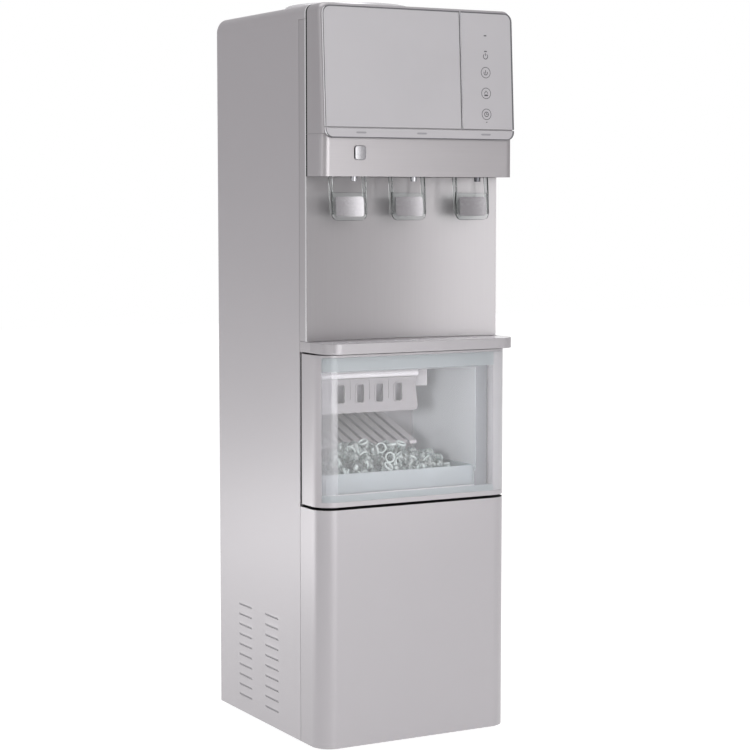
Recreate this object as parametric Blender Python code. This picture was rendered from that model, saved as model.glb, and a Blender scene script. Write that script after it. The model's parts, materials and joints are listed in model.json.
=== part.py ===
"""Free-standing three-tap water dispenser with an ice maker behind a hinged clear door.

Metres, +Z up, the front faces -Y.  The origin is the middle of the base of the whole object.
Every sub-part is one object.  Driving sizes stand first, grouped by the piece that they shape.
"""

import math

import bmesh
import bpy
from mathutils import Matrix, Vector

# Clearances shared by pieces that seat on or pass each other
SEAT_GAP = 0.0003
RUN_GAP = 0.0006
CUT_OVERRUN = 0.004
CORNER_STEPS = 9
ROUND_STEPS = 24

# Cabinet
CABINET_WIDTH = 0.310
CABINET_DEPTH = 0.273
SHEET = 0.0015
FOOT_GAP = 0.006
FRONT_LIP = 0.005
REAR_LIP = 0.012
BACK_INSET = 0.0018

# Heights of the bands of the front, from the bottom up
LOWER_PANEL_HEIGHT = 0.3385
DOOR_GAP = 0.004
DOOR_HEIGHT = 0.2125
DECK_GAP = 0.0025
TRAY_HEIGHT = 0.0145
RECESS_HEIGHT = 0.230
TAP_BAR_HEIGHT = 0.058
HEAD_HEIGHT = 0.1784

# Door and lower panel, two covers of one outline
COVER_DEPTH = 0.0625
COVER_CORNER = 0.028
COVER_WALL = 0.003
COVER_PLATE = 0.0035
SIDE_SEAM = 0.0025
WINDOW_STILE = 0.007
WINDOW_SILL = 0.007
WINDOW_HEAD = 0.0032
WINDOW_CUT_DEPTH = 0.021
HINGE_INSET = 0.003
HINGE_REACH_SHARE = 1.42
HINGE_PIN_RADIUS = 0.0015
HINGE_WASHER_RADIUS = 0.0026

# Drip tray and the deck behind it
TRAY_OVERHANG = 0.020
TRAY_DEPTH = 0.0493
TRAY_CORNER = 0.025
TRAY_WALL = 0.0025
GRILLE_THICKNESS = 0.003
DRAIN_HOLE_RADIUS = 0.0065
DRAIN_SLOT_LENGTH = 0.012
DRAIN_SLOT_WIDTH = 0.0042
DRAIN_SLOT_PITCH = 0.0275
DRAIN_SLOT_CORNER = 0.0019
DRAIN_HOLE_SIDES = 16
DRAIN_SETBACK = 0.030
TONGUE_INSET = 0.035
TONGUE_LENGTH = 0.018
TONGUE_DROP = 0.0045
DECK_TOP = 0.003
DECK_REAR = 0.0035

# Recess, its panel and the moulded front frame
FRAME_DEPTH = 0.021
FRAME_WALL = 0.002
FRAME_FLANGE = 0.0052
FRAME_STILE = 0.037
RECESS_SAG = 0.020
PANEL_SHEET = 0.0015
RECESS_STEPS = 24

# Tap bar, head housing and the glass front
TAP_BAR_FRONT = 0.006
TAP_BAR_CORNER = 0.0125
HOUSING_WALL = 0.003
HEAD_ROUND = 0.012
HEAD_FRONT_ROUND = 0.0084
HEAD_HOLLOW_INSET = 0.006
RAKE_DEG = 3.08
GLASS_THICKNESS = 0.003
GLASS_SIDE_INSET = 0.00275
GLASS_TOP_DROP = 0.0039
GLASS_TOP_REACH = 0.0031
GLASS_CORNER = 0.012
GLASS_SEAM = 0.0012
GLASS_OVERHANG = 0.0055
LABEL_STRIP_HEIGHT = 0.0148
DIVIDER_INSET = 0.0895

# Child-lock button
LOCK_INSET = 0.0595
LOCK_RISE = 0.0324
LOCK_WIDTH = 0.0180
LOCK_HEIGHT = 0.0196
LOCK_CORNER = 0.004
LOCK_PROUD = 0.002
LOCK_EDGE = 0.0008
LOCK_FLANGE = 0.002
LOCK_FLANGE_THICKNESS = 0.0015

# Taps
TAP_INSET = 0.055
TAP_SETBACK = 0.0085
TAP_NOZZLE_REACH = 0.0065
TAP_NOZZLE_RADIUS = 0.005
TAP_NOZZLE_SETBACK = 0.0095
TAP_BORE_RADIUS = 0.003
TAP_NOZZLE_TIP_RADIUS = 0.0042
TAP_BLOCK_WIDTH = 0.030
TAP_BLOCK_HEIGHT = 0.030
TAP_BLOCK_LIFT = 0.003
TAP_LIP_HEIGHT = 0.010
TAP_LIP_WIDTH = 0.009
TAP_BLOCK_SETBACK = 0.012
PADDLE_WIDTH = 0.055
PADDLE_WALL = 0.0025
PADDLE_LENGTH = 0.0712
PADDLE_PLATE_HEIGHT = 0.0387
PADDLE_CORNER = 0.009
PADDLE_ARM_DEPTH = 0.0095
PADDLE_ARM_TOE = 0.0075
PADDLE_EYE_RADIUS = 0.005
PADDLE_LEAN_DEG = 5.0
PADDLE_PIVOT_SETBACK = 0.030
PADDLE_PIVOT_LIFT = 0.010
PADDLE_OPENING_REAR = 0.0068
PADDLE_PIN_RADIUS = 0.0018
PADDLE_PIN_END = 0.0015
PAD_WIDTH = 0.044
PAD_HEIGHT = 0.0277
PAD_THICKNESS = 0.002
PAD_RISE = 0.0053
PAD_CORNER = 0.004

# Top cover, bottle collar, receiver and probe
COVER_SKIRT = 0.020
COVER_TOP_WALL = 0.003
COVER_ROUND = 0.012
COVER_BACK_SHARE = 0.66
WELL_SETBACK = 0.147
WELL_RADIUS = 0.086
COLLAR_RADIUS = 0.094
COLLAR_HEIGHT = 0.0153
COLLAR_WALL = 0.003
COLLAR_MOUTH_RADIUS = 0.0815
COLLAR_ROUND = 0.006
COLLAR_CROWN = 0.0042
RECEIVER_FLANGE = 0.0022
RECEIVER_WALL = 0.0025
RECEIVER_DEPTH = 0.056
RECEIVER_DRAFT = 0.006
SPIGOT_RADIUS = 0.014
SPIGOT_BORE = 0.010
SPIGOT_LENGTH = 0.012
PROBE_HEIGHT = 0.040
PROBE_RADIUS = 0.009
PROBE_BASE_RADIUS = 0.022
PROBE_BASE = 0.003
PROBE_FILLET = 0.0018

# Ice chamber: a foamed box with a stepped mouth
CHAMBER_SIDE_WALL = 0.0197
CHAMBER_REACH = 0.0115
CHAMBER_BASE_GAP = 0.0055
CHAMBER_TOP_GAP = 0.0055
CHAMBER_FLOOR = 0.004
CHAMBER_MOUTH_TOP = 0.1835
CHAMBER_STEP = 0.0315
CHAMBER_STEP_IN = 0.003
CHAMBER_LIP = 0.009
CHAMBER_CEILING = 0.006
CHAMBER_DEPTH = 0.186
CHAMBER_BACK = 0.021

# Ice bin
BIN_DEPTH = 0.112
BIN_HEIGHT = 0.029
BIN_WALL = 0.0025
BIN_SIDE_GAP = 0.0012
BIN_RIM = 0.006
BIN_RIM_OUT = 0.0015

# Ice maker
MAKER_LEFT = 0.0065
MAKER_RIGHT_SPACE = 0.0845
MAKER_SETBACK = 0.021
MAKER_DEPTH = 0.046
MAKER_BAR = 0.010
MAKER_BAR_LEVEL = 0.1665
MAKER_EAR = 0.0022
MAKER_EAR_LEAD = 0.0216
CURTAIN_DROP = 0.049
CURTAIN_THICKNESS = 0.0025
CURTAIN_SETBACK = 0.0025
CURTAIN_CORNER = 0.006
CURTAIN_TAPER = 0.005
CURTAIN_WINDOWS = 4
CURTAIN_WINDOW_WIDTH = 0.0115
CURTAIN_WINDOW_HEIGHT = 0.026
CURTAIN_WINDOW_RISE = 0.0145
CURTAIN_FIRST_SHARE = 0.2256
CURTAIN_PITCH_SHARE = 0.192
CURTAIN_RIM = 0.0022
CURTAIN_RIM_PROUD = 0.0012
CURTAIN_RIB_WIDTH = 0.0016
CURTAIN_RIB_DROP = 0.030
MOULD_RADIUS = 0.0360
MOULD_WALL = 0.0022
MOULD_AXIS_DROP = 0.0095
MOULD_AXIS_SETBACK = 0.049
MOULD_END_GAP = 0.0022
MOULD_STUB_RADIUS = 0.003
MOULD_STEPS = 14
EVAPORATOR_PLATE = 0.004
EVAPORATOR_HALF_DEPTH = 0.020
EVAPORATOR_RISE = 0.003
EVAPORATOR_INSET = 0.006
EVAPORATOR_NECK = 0.012
FINGER_RADIUS = 0.0045
FINGER_LENGTH = 0.031
FINGER_COLUMNS = 5
FINGER_SIDES = 8
FINGER_ROW_HALF = 0.0125
MOTOR_LENGTH = 0.028
MOTOR_HEIGHT = 0.036
MOTOR_DEPTH = 0.050
MOTOR_SETBACK = 0.030
MOTOR_NECK_RADIUS = 0.006
MOTOR_NECK = 0.004
MOTOR_NOSE = 0.012
MOTOR_NOSE_HEIGHT = 0.022

# Slatted ramp
RAMP_RIGHT_SPACE = 0.069
RAMP_SLATS = 11
RAMP_SLAT_WIDTH = 0.012
RAMP_SLAT_HEIGHT = 0.005
RAMP_FRONT = 0.054
RAMP_FRONT_LEVEL = 0.068
RAMP_BACK_LEVEL = 0.110
RAMP_BEAM = 0.006

# Ice water tank under the ramp
ICE_TANK_RIGHT_SPACE = 0.099
ICE_TANK_DEPTH_SHARE = 0.77
ICE_TANK_HEIGHT = 0.040
ICE_TANK_WALL = 0.0025

# Base, feet and lower machinery
BASE_SHEET = 0.002
BASE_RIM = 0.012
FOOT_RADIUS = 0.016
FOOT_TOE_RADIUS = 0.013
FOOT_INSET = 0.032
CAN_RADIUS = 0.056
CAN_HEIGHT = 0.165
CAN_DOME = 0.030
CAN_SIDE_INSET = 0.100
CAN_SETBACK = 0.190
CAN_PLATE_HALF = 0.066
CAN_PLATE = 0.003
CAN_MOUNT_RADIUS = 0.009
CAN_MOUNT_INSET = 0.0117
CAN_MOUNT_HEIGHT = 0.010
CONDENSER_SPACING = 0.004
CONDENSER_THICKNESS = 0.030
CONDENSER_LENGTH = 0.148
CONDENSER_HEIGHT = 0.150
CONDENSER_FINS = 13
CONDENSER_FIN = 0.0022
CONDENSER_CORE = 0.010
CONDENSER_SETBACK = 0.066
FAN_SIDE = 0.124
FAN_DEPTH = 0.022
FAN_BORE = 0.051
FAN_BLADES = 5
FAN_HUB_RADIUS = 0.016
FAN_HUB_DEPTH = 0.012
FAN_TIP_GAP = 0.003
FAN_BLADE_THICKNESS = 0.0018
FAN_BLADE_PITCH_DEG = 32.0
FAN_BLADE_TIP_PITCH_DEG = 21.0
FAN_BLADE_SWEEP_DEG = 14.0
FAN_BLADE_ROOT_RADIUS = 0.0112
FAN_BLADE_ROOT_CHORD = 0.0149
FAN_BLADE_TIP_CHORD = 0.0248
FAN_BLADE_STATIONS = 4
FAN_STRUT = 0.004
FAN_MOTOR_DEPTH = 0.014

# Louvres pressed out of the side panels
LOUVRE_ROWS = 10
LOUVRE_PITCH = 0.0153
LOUVRE_LENGTH = 0.048
LOUVRE_HEIGHT = 0.0062
LOUVRE_REACH = 0.003
LOUVRE_SKIN = 0.0009
LOUVRE_END = 0.003
LOUVRE_FRONT = 0.069
LOUVRE_COLUMN_PITCH = 0.0895
LOUVRE_BASE = 0.0255
LOUVRE_ROOT_SHARE = 0.5
LOUVRE_THROAT_SHARE = 1.6

# Tanks
COLD_TANK_RADIUS = 0.078
COLD_TANK_HEIGHT = 0.180
COLD_TANK_ROUND = 0.016
HOT_TANK_RADIUS = 0.050
HOT_TANK_HEIGHT = 0.150
HOT_TANK_ROUND = 0.014
HOT_TANK_LEG = 0.026
HOT_TANK_LEG_RADIUS = 0.004
HOT_TANK_SETBACK = 0.125

# Back panel, its vents, switches, drain plug and cord gland
VENT_SLOTS = 8
VENT_PITCH = 0.014
VENT_WIDTH = 0.110
VENT_HEIGHT = 0.005
VENT_BASE = 0.048
VENT_COLUMN = 0.064
SWITCH_LEVEL = 0.640
SWITCH_WIDTH = 0.052
SWITCH_HEIGHT = 0.030
SWITCH_BEZEL = 0.0018
SWITCH_BODY_DEPTH = 0.018
SWITCH_WALL = 0.0022
ROCKER_WIDTH = 0.0165
ROCKER_HEIGHT = 0.020
ROCKER_DEPTH = 0.007
ROCKER_PROUD = 0.0018
ROCKER_DISH_SHARE = 0.55
ROCKER_REST_DEG = 7.0
PLUG_RADIUS = 0.012
PLUG_LENGTH = 0.011
PLUG_STEM_RADIUS = 0.006
PLUG_STEM = 0.010
PLUG_LEVEL = 0.300
PLUG_INSET = 0.070
PLUG_SIDES = 12
GLAND_RADIUS = 0.009
GLAND_LENGTH = 0.009
GLAND_BORE = 0.0038
GLAND_LEVEL = 0.034
GLAND_INSET = 0.050

# Levels and planes worked out from the sizes above
HALF_WIDTH = CABINET_WIDTH / 2
WINDOW_HALF = HALF_WIDTH - WINDOW_STILE
TONGUE_HALF = HALF_WIDTH - TONGUE_INSET
FRAME_WINDOW_HALF = HALF_WIDTH - FRAME_STILE
GLASS_HALF = HALF_WIDTH - GLASS_SIDE_INSET
DIVIDER_X = HALF_WIDTH - DIVIDER_INSET
LOCK_X = LOCK_INSET - HALF_WIDTH
TAP_SPACING = HALF_WIDTH - TAP_INSET
CHAMBER_OUTER_HALF = HALF_WIDTH - HINGE_INSET - HINGE_INSET * HINGE_REACH_SHARE - RUN_GAP
CHAMBER_INNER_HALF = CHAMBER_OUTER_HALF - CHAMBER_SIDE_WALL
CAN_X = HALF_WIDTH - CAN_SIDE_INSET
PLUG_X = HALF_WIDTH - PLUG_INSET
GLAND_X = GLAND_INSET - HALF_WIDTH
TOTAL_REACH = TRAY_OVERHANG + COVER_DEPTH + CABINET_DEPTH - BACK_INSET + SEAT_GAP + PLUG_LENGTH
FACE_Y = TRAY_OVERHANG - TOTAL_REACH / 2
SHELL_Y = FACE_Y + COVER_DEPTH
BACK_Y = SHELL_Y + CABINET_DEPTH
BACK_FACE_Y = BACK_Y - BACK_INSET
FRAME_Y = SHELL_Y - FRAME_DEPTH
PANEL_TOP_Z = FOOT_GAP + LOWER_PANEL_HEIGHT
DOOR_Z = PANEL_TOP_Z + DOOR_GAP
DOOR_TOP_Z = DOOR_Z + DOOR_HEIGHT
DECK_Z = DOOR_TOP_Z + DECK_GAP
DECK_TOP_Z = DECK_Z + TRAY_HEIGHT
BAR_Z = DECK_TOP_Z + RECESS_HEIGHT
HEAD_Z = BAR_Z + TAP_BAR_HEIGHT
TOP_Z = HEAD_Z + HEAD_HEIGHT
SKIRT_Z = TOP_Z - COVER_SKIRT
WELL_Y = SHELL_Y + WELL_SETBACK
TAN_RAKE = math.tan(math.radians(RAKE_DEG))
GLASS_TOP_Z = TOP_Z - GLASS_TOP_DROP
GLASS_TOP_Y = FACE_Y - GLASS_TOP_REACH
GLASS_BOTTOM_Z = HEAD_Z - GLASS_OVERHANG
TAP_PLACES = {"left": (-1, 0), "middle": (0, 1), "right": (1, 0)}


# Small modelling helpers

SRGB_TOE = 0.04045
SRGB_TOE_SLOPE = 12.92
SRGB_LIFT = 0.055
SRGB_POWER = 2.4


def linear(channel):
    """Return one sRGB channel as a linear value."""
    if channel <= SRGB_TOE:
        return channel / SRGB_TOE_SLOPE
    return ((channel + SRGB_LIFT) / (1 + SRGB_LIFT)) ** SRGB_POWER


def finish(name, colour, roughness=0.4, metallic=0.0, alpha=1.0):
    """Make one Principled BSDF material from an sRGB hex colour."""
    channels = [linear(int(colour[i:i + 2], 16) / 255) for i in (0, 2, 4)]
    material = bpy.data.materials.new(name)
    material.use_nodes = True
    shader = material.node_tree.nodes["Principled BSDF"]
    shader.inputs["Base Color"].default_value = (*channels, 1.0)
    shader.inputs["Roughness"].default_value = roughness
    shader.inputs["Metallic"].default_value = metallic
    shader.inputs["Alpha"].default_value = alpha
    material.diffuse_color = (*channels, alpha)
    return material


def make_object(name, form, material=None):
    """Turn a bmesh into a named object with its faces pointing out."""
    bmesh.ops.recalc_face_normals(form, faces=form.faces)
    mesh = bpy.data.meshes.new(name)
    form.to_mesh(mesh)
    form.free()
    mesh.shade_smooth()
    mesh.set_sharp_from_angle(angle=math.radians(32))
    made = bpy.data.objects.new(name, mesh)
    bpy.context.scene.collection.objects.link(made)
    if material is not None:
        mesh.materials.append(material)
    return made


def add_prism(form, outline, low, high, along="Z"):
    """Extrude a closed 2-D outline between two planes along one world axis."""
    def place(point, level):
        first, second = point
        return {"Z": (first, second, level), "Y": (first, level, second),
                "X": (level, first, second)}[along]

    base = [form.verts.new(place(point, low)) for point in outline]
    face = form.faces.new(base)
    swept = bmesh.ops.extrude_face_region(form, geom=[face])
    moved = [item for item in swept["geom"] if isinstance(item, bmesh.types.BMVert)]
    shift = Vector(place((0, 0), high - low))
    bmesh.ops.translate(form, verts=moved, vec=shift)
    return base + moved


def prism(name, outline, low, high, along="Z", material=None):
    """Make an object from one extruded outline."""
    form = bmesh.new()
    add_prism(form, outline, low, high, along)
    return make_object(name, form, material)


def block(name, low, high, material=None):
    """Make a box object from two corners."""
    outline = rectangle(low[0], high[0], low[1], high[1])
    return prism(name, outline, low[2], high[2], "Z", material)


def rectangle(x0, x1, y0, y1):
    """Return the corners of an upright rectangle."""
    return [(x0, y0), (x1, y0), (x1, y1), (x0, y1)]


def arc(centre, radius, start_deg, end_deg, steps=CORNER_STEPS):
    """Return points on an arc, both ends included."""
    points = []
    for step in range(steps + 1):
        angle = math.radians(start_deg + (end_deg - start_deg) * step / steps)
        points.append((centre[0] + radius * math.cos(angle), centre[1] + radius * math.sin(angle)))
    return points


def ring(centre, radius, sides):
    """Return the corners of a regular polygon."""
    return arc(centre, radius, 0, 360, sides)[:-1]


def rounded_rectangle(x0, x1, y0, y1, radius, steps=4):
    """Return a rectangle with four round corners."""
    return (arc((x1 - radius, y1 - radius), radius, 0, 90, steps)
            + arc((x0 + radius, y1 - radius), radius, 90, 180, steps)
            + arc((x0 + radius, y0 + radius), radius, 180, 270, steps)
            + arc((x1 - radius, y0 + radius), radius, 270, 360, steps))


def cover_outline(front, back, half, radius):
    """Return a plan outline with two round front corners and a flat back."""
    return (arc((-half + radius, front + radius), radius, 180, 270)
            + arc((half - radius, front + radius), radius, 270, 360)
            + [(half, back), (-half, back)])


def arched_outline(half, low, high, radius):
    """Return an upright outline with two round top corners and a flat base."""
    return (arc((half - radius, high - radius), radius, 0, 90)
            + arc((-half + radius, high - radius), radius, 90, 180)
            + [(-half, low), (half, low)])


def add_loft(form, loops):
    """Skin closed loops of equal length one after another and cap both ends."""
    rings = [[form.verts.new(point) for point in loop] for loop in loops]
    count = len(rings[0])
    for ring, following in zip(rings, rings[1:]):
        for index in range(count):
            beyond = (index + 1) % count
            form.faces.new((ring[index], ring[beyond], following[beyond], following[index]))
    form.faces.new(list(reversed(rings[0])))
    form.faces.new(rings[-1])


def add_turned(form, profile, centre=(0, 0), steps=ROUND_STEPS):
    """Revolve a closed (radius, height) profile about an upright axis with the spin operator."""
    verts = [form.verts.new((centre[0] + radius, centre[1], level)) for radius, level in profile]
    edges = [form.edges.new((verts[i], verts[(i + 1) % len(verts)])) for i in range(len(verts))]
    bmesh.ops.spin(form, geom=verts + edges, cent=(centre[0], centre[1], 0), axis=(0, 0, 1),
                   angle=2 * math.pi, steps=steps, use_merge=True, use_duplicate=False)
    bmesh.ops.remove_doubles(form, verts=form.verts, dist=1e-7)
    flat = [face for face in form.faces if face.calc_area() < 1e-14]
    bmesh.ops.delete(form, geom=flat, context="FACES_ONLY")


def turned(name, profile, centre=(0, 0), material=None, steps=ROUND_STEPS):
    """Make a turned object on an upright axis."""
    form = bmesh.new()
    add_turned(form, profile, centre, steps)
    return make_object(name, form, material)


def rod(name, radius, start, end, material=None, steps=ROUND_STEPS):
    """Make a plain round bar between two points."""
    start, end = Vector(start), Vector(end)
    form = bmesh.new()
    bmesh.ops.create_cone(form, cap_ends=True, segments=steps, radius1=radius, radius2=radius,
                          depth=(end - start).length)
    turn = Vector((0, 0, 1)).rotation_difference(end - start).to_matrix().to_4x4()
    bmesh.ops.transform(form, matrix=Matrix.Translation((start + end) / 2) @ turn, verts=form.verts)
    return make_object(name, form, material)


def combine(target, tool, operation):
    """Join or cut an object with a tool that stays in the scene as a guide."""
    change = target.modifiers.new(tool.name, "BOOLEAN")
    change.operation = operation
    change.solver = "EXACT"
    change.object = tool
    tool.hide_render = True
    tool.display_type = "WIRE"


def cut(target, *tools):
    """Cut one or more tools out of an object."""
    for tool in tools:
        combine(target, tool, "DIFFERENCE")


def join(target, *tools):
    """Fuse one or more tools into an object."""
    for tool in tools:
        combine(target, tool, "UNION")


def set_axis(made, point, turn=None):
    """Put an object's origin on its joint axis, and turn it there if asked."""
    made.data.transform(Matrix.Translation(-Vector(point)))
    made.location = point
    if turn is not None:
        made.rotation_euler = turn


# Finishes, from the photograph

def make_finishes():
    """Make the material of every kind of piece."""
    return {
        "silver": finish("silver_paint", "C9C8CB", 0.42, 0.25),
        "brushed": finish("brushed_steel", "BDBCBF", 0.34, 0.9),
        "glass": finish("grey_glass", "BFBEC2", 0.08, 0.1),
        "clear": finish("clear_acrylic", "DCE6E4", 0.06, 0.0, 0.3),
        "liner": finish("liner_plastic", "D6D8D9", 0.45),
        "white": finish("white_plastic", "E9EAEC", 0.4),
        "chrome": finish("chrome", "D8D8DA", 0.12, 1.0),
        "pad": finish("pad_plastic", "D3D3D5", 0.35, 0.2),
        "steel": finish("steel", "A9ABAD", 0.35, 1.0),
        "galvanised": finish("galvanised_sheet", "9FA3A6", 0.5, 0.8),
        "dark": finish("dark_plastic", "2B2C2E", 0.5),
        "rubber": finish("black_rubber", "1C1C1D", 0.8),
        "foam": finish("insulation_jacket", "D9D6CC", 0.8),
        "aluminium": finish("aluminium_fins", "C4C7C9", 0.4, 1.0),
        "red": finish("red_rocker", "B3272B", 0.35),
        "green": finish("green_rocker", "2E7D4A", 0.35),
    }


# Cabinet shell

def make_base(looks):
    """Make the folded base pan and its four feet."""
    half = HALF_WIDTH - SHEET - SEAT_GAP
    front = SHELL_Y + SHEET + 2 * SEAT_GAP
    back = BACK_FACE_Y - SHEET - SEAT_GAP
    pan = block("base_plate", (-half, front, FOOT_GAP), (half, back, FOOT_GAP + BASE_RIM),
                looks["galvanised"])
    hollow = block("base_hollow", (-half + BASE_SHEET, front + BASE_SHEET, FOOT_GAP + BASE_SHEET),
                   (half - BASE_SHEET, back - BASE_SHEET, FOOT_GAP + BASE_RIM + CUT_OVERRUN))
    cut(pan, hollow)
    for side, sign in (("left", -1), ("right", 1)):
        for end, y in (("front", front + FOOT_INSET), ("rear", back - FOOT_INSET)):
            centre = (sign * (half - FOOT_INSET), y)
            profile = [(0, 0), (FOOT_TOE_RADIUS, 0), (FOOT_RADIUS, FOOT_GAP / 2),
                       (FOOT_RADIUS, FOOT_GAP - SEAT_GAP), (0, FOOT_GAP - SEAT_GAP)]
            turned(f"foot_{end}_{side}", profile, centre, looks["rubber"], 16)


def add_louvre(form, sign, y0, y1, z, grow, inner):
    """Add one pressed louvre: a wedge that leans out towards its lower edge."""
    root_share = LOUVRE_THROAT_SHARE if inner else LOUVRE_ROOT_SHARE
    sheet_x = sign * (HALF_WIDTH - SHEET * root_share)
    out_x = sign * (HALF_WIDTH + LOUVRE_REACH - grow)
    top = z + LOUVRE_HEIGHT - (2 * grow if inner else 0)
    low = z - (grow if inner else 0)
    foot = [(sheet_x, y0 + grow, low), (sheet_x, y1 - grow, low),
            (out_x, y1 - grow - LOUVRE_END, low), (out_x, y0 + grow + LOUVRE_END, low)]
    brow = [(sheet_x, y0 + grow, top), (sheet_x, y1 - grow, top),
            (sign * (HALF_WIDTH - grow), y1 - grow - LOUVRE_END / 2, top),
            (sign * (HALF_WIDTH - grow), y0 + grow + LOUVRE_END / 2, top)]
    add_loft(form, [foot, brow])


def make_side_panel(name, sign, looks):
    """Make one folded side panel with two columns of louvres."""
    outer = sign * HALF_WIDTH
    inner = sign * (HALF_WIDTH - SHEET)
    lip = sign * (HALF_WIDTH - FRONT_LIP)
    rear = sign * (HALF_WIDTH - REAR_LIP)
    front_y = SHELL_Y + SEAT_GAP
    outline = [(outer, front_y), (lip, front_y), (lip, front_y + SHEET), (inner, front_y + SHEET),
               (inner, BACK_Y - SHEET), (rear, BACK_Y - SHEET), (rear, BACK_Y), (outer, BACK_Y)]
    panel = prism(name, outline, FOOT_GAP, SKIRT_Z - SEAT_GAP, "Z", looks["silver"])
    hoods = bmesh.new()
    mouths = bmesh.new()
    for column in range(2):
        y0 = SHELL_Y + LOUVRE_FRONT + column * LOUVRE_COLUMN_PITCH
        for row in range(LOUVRE_ROWS):
            z = FOOT_GAP + LOUVRE_BASE + row * LOUVRE_PITCH
            add_louvre(hoods, sign, y0, y0 + LOUVRE_LENGTH, z, 0, False)
            add_louvre(mouths, sign, y0, y0 + LOUVRE_LENGTH, z, LOUVRE_SKIN, True)
    join(panel, make_object(f"{name}_hoods", hoods))
    cut(panel, make_object(f"{name}_mouths", mouths))


def make_back_panel(looks):
    """Make the sheet that closes the back, with its vent slots and fittings' holes."""
    half = HALF_WIDTH - SHEET - 2 * SEAT_GAP
    top = SKIRT_Z - SEAT_GAP
    inner_y = BACK_FACE_Y - SHEET
    panel = block("back_panel", (-half, inner_y, FOOT_GAP), (half, BACK_FACE_Y, top),
                  looks["galvanised"])
    # The panel lies inside the side panels' rear lips, so its borders step in by one sheet
    for sign in (-1, 1):
        inner = sign * (HALF_WIDTH - REAR_LIP - SEAT_GAP)
        edge = block(f"back_edge_{sign}", (min(inner, sign * HALF_WIDTH), BACK_Y - SHEET - SEAT_GAP,
                                           FOOT_GAP - CUT_OVERRUN),
                     (max(inner, sign * HALF_WIDTH), BACK_Y, top + CUT_OVERRUN))
        cut(panel, edge)
    slots = bmesh.new()
    for column in (-1, 1):
        for row in range(VENT_SLOTS):
            z = FOOT_GAP + VENT_BASE + row * VENT_PITCH
            x = column * VENT_COLUMN
            outline = rectangle(x - VENT_WIDTH / 2, x + VENT_WIDTH / 2, z, z + VENT_HEIGHT)
            add_prism(slots, outline, inner_y - CUT_OVERRUN, BACK_FACE_Y + CUT_OVERRUN, "Y")
    cut(panel, make_object("vent_cutter", slots))
    switch = block("switch_hole", (-SWITCH_WIDTH / 2 + SWITCH_WALL, inner_y - CUT_OVERRUN,
                                   SWITCH_LEVEL - SWITCH_HEIGHT / 2 + SWITCH_WALL),
                   (SWITCH_WIDTH / 2 - SWITCH_WALL, BACK_FACE_Y + CUT_OVERRUN,
                    SWITCH_LEVEL + SWITCH_HEIGHT / 2 - SWITCH_WALL))
    plug = rod("plug_hole", PLUG_STEM_RADIUS + RUN_GAP, (PLUG_X, inner_y - CUT_OVERRUN, PLUG_LEVEL),
               (PLUG_X, BACK_FACE_Y + CUT_OVERRUN, PLUG_LEVEL))
    gland = rod("gland_hole", GLAND_BORE + RUN_GAP, (GLAND_X, inner_y - CUT_OVERRUN, GLAND_LEVEL),
                (GLAND_X, BACK_FACE_Y + CUT_OVERRUN, GLAND_LEVEL))
    cut(panel, switch, plug, gland)


def make_back_fittings(looks):
    """Make the drain plug, the cord gland, the switch block and its two rockers."""
    seat = BACK_FACE_Y + SEAT_GAP
    plug = prism("drain_plug", ring((PLUG_X, PLUG_LEVEL), PLUG_RADIUS, PLUG_SIDES), seat,
                 seat + PLUG_LENGTH, "Y", looks["white"])
    join(plug, rod("plug_stem", PLUG_STEM_RADIUS, (PLUG_X, seat - PLUG_STEM, PLUG_LEVEL),
                   (PLUG_X, seat + PLUG_LENGTH / 2, PLUG_LEVEL)))
    gland = rod("cord_gland", GLAND_RADIUS, (GLAND_X, seat, GLAND_LEVEL),
                (GLAND_X, seat + GLAND_LENGTH, GLAND_LEVEL), looks["dark"], 16)
    cut(gland, rod("gland_bore", GLAND_BORE, (GLAND_X, seat - CUT_OVERRUN, GLAND_LEVEL),
                   (GLAND_X, seat + GLAND_LENGTH + CUT_OVERRUN, GLAND_LEVEL), None, 16))

    half_w, half_h = SWITCH_WIDTH / 2, SWITCH_HEIGHT / 2
    inset = SWITCH_WALL + RUN_GAP
    housing = block("switch_block", (-half_w, seat, SWITCH_LEVEL - half_h),
                    (half_w, seat + SWITCH_BEZEL, SWITCH_LEVEL + half_h), looks["dark"])
    body = block("switch_body", (-half_w + inset, seat - SWITCH_BODY_DEPTH, SWITCH_LEVEL - half_h + inset),
                 (half_w - inset, seat + SWITCH_BEZEL / 2, SWITCH_LEVEL + half_h - inset))
    join(housing, body)
    for name, sign, look in (("hot_switch_rocker", -1, "red"), ("ice_switch_rocker", 1, "green")):
        centre_x = sign * (ROCKER_WIDTH + SWITCH_WALL) / 2
        x0, x1 = centre_x - ROCKER_WIDTH / 2, centre_x + ROCKER_WIDTH / 2
        face = seat + SWITCH_BEZEL + ROCKER_PROUD
        low, high = SWITCH_LEVEL - ROCKER_HEIGHT / 2, SWITCH_LEVEL + ROCKER_HEIGHT / 2
        pocket_floor = face - ROCKER_DEPTH - 2 * ROCKER_PROUD
        pocket = block(f"{name}_pocket", (x0 - SEAT_GAP, pocket_floor, low - RUN_GAP * 2),
                       (x1 + SEAT_GAP, face + CUT_OVERRUN, high + RUN_GAP * 2))
        cut(housing, pocket)
        swell = ROCKER_PROUD * ROCKER_DISH_SHARE
        outline = [(face, low), (face - swell, SWITCH_LEVEL), (face, high),
                   (face - ROCKER_DEPTH + ROCKER_PROUD, high), (face - ROCKER_DEPTH, SWITCH_LEVEL),
                   (face - ROCKER_DEPTH + ROCKER_PROUD, low)]
        rocker = prism(name, outline, x0, x1, "X", looks[look])
        set_axis(rocker, (centre_x, face - ROCKER_DEPTH / 2, SWITCH_LEVEL),
                 (math.radians(ROCKER_REST_DEG), 0, 0))


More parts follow.
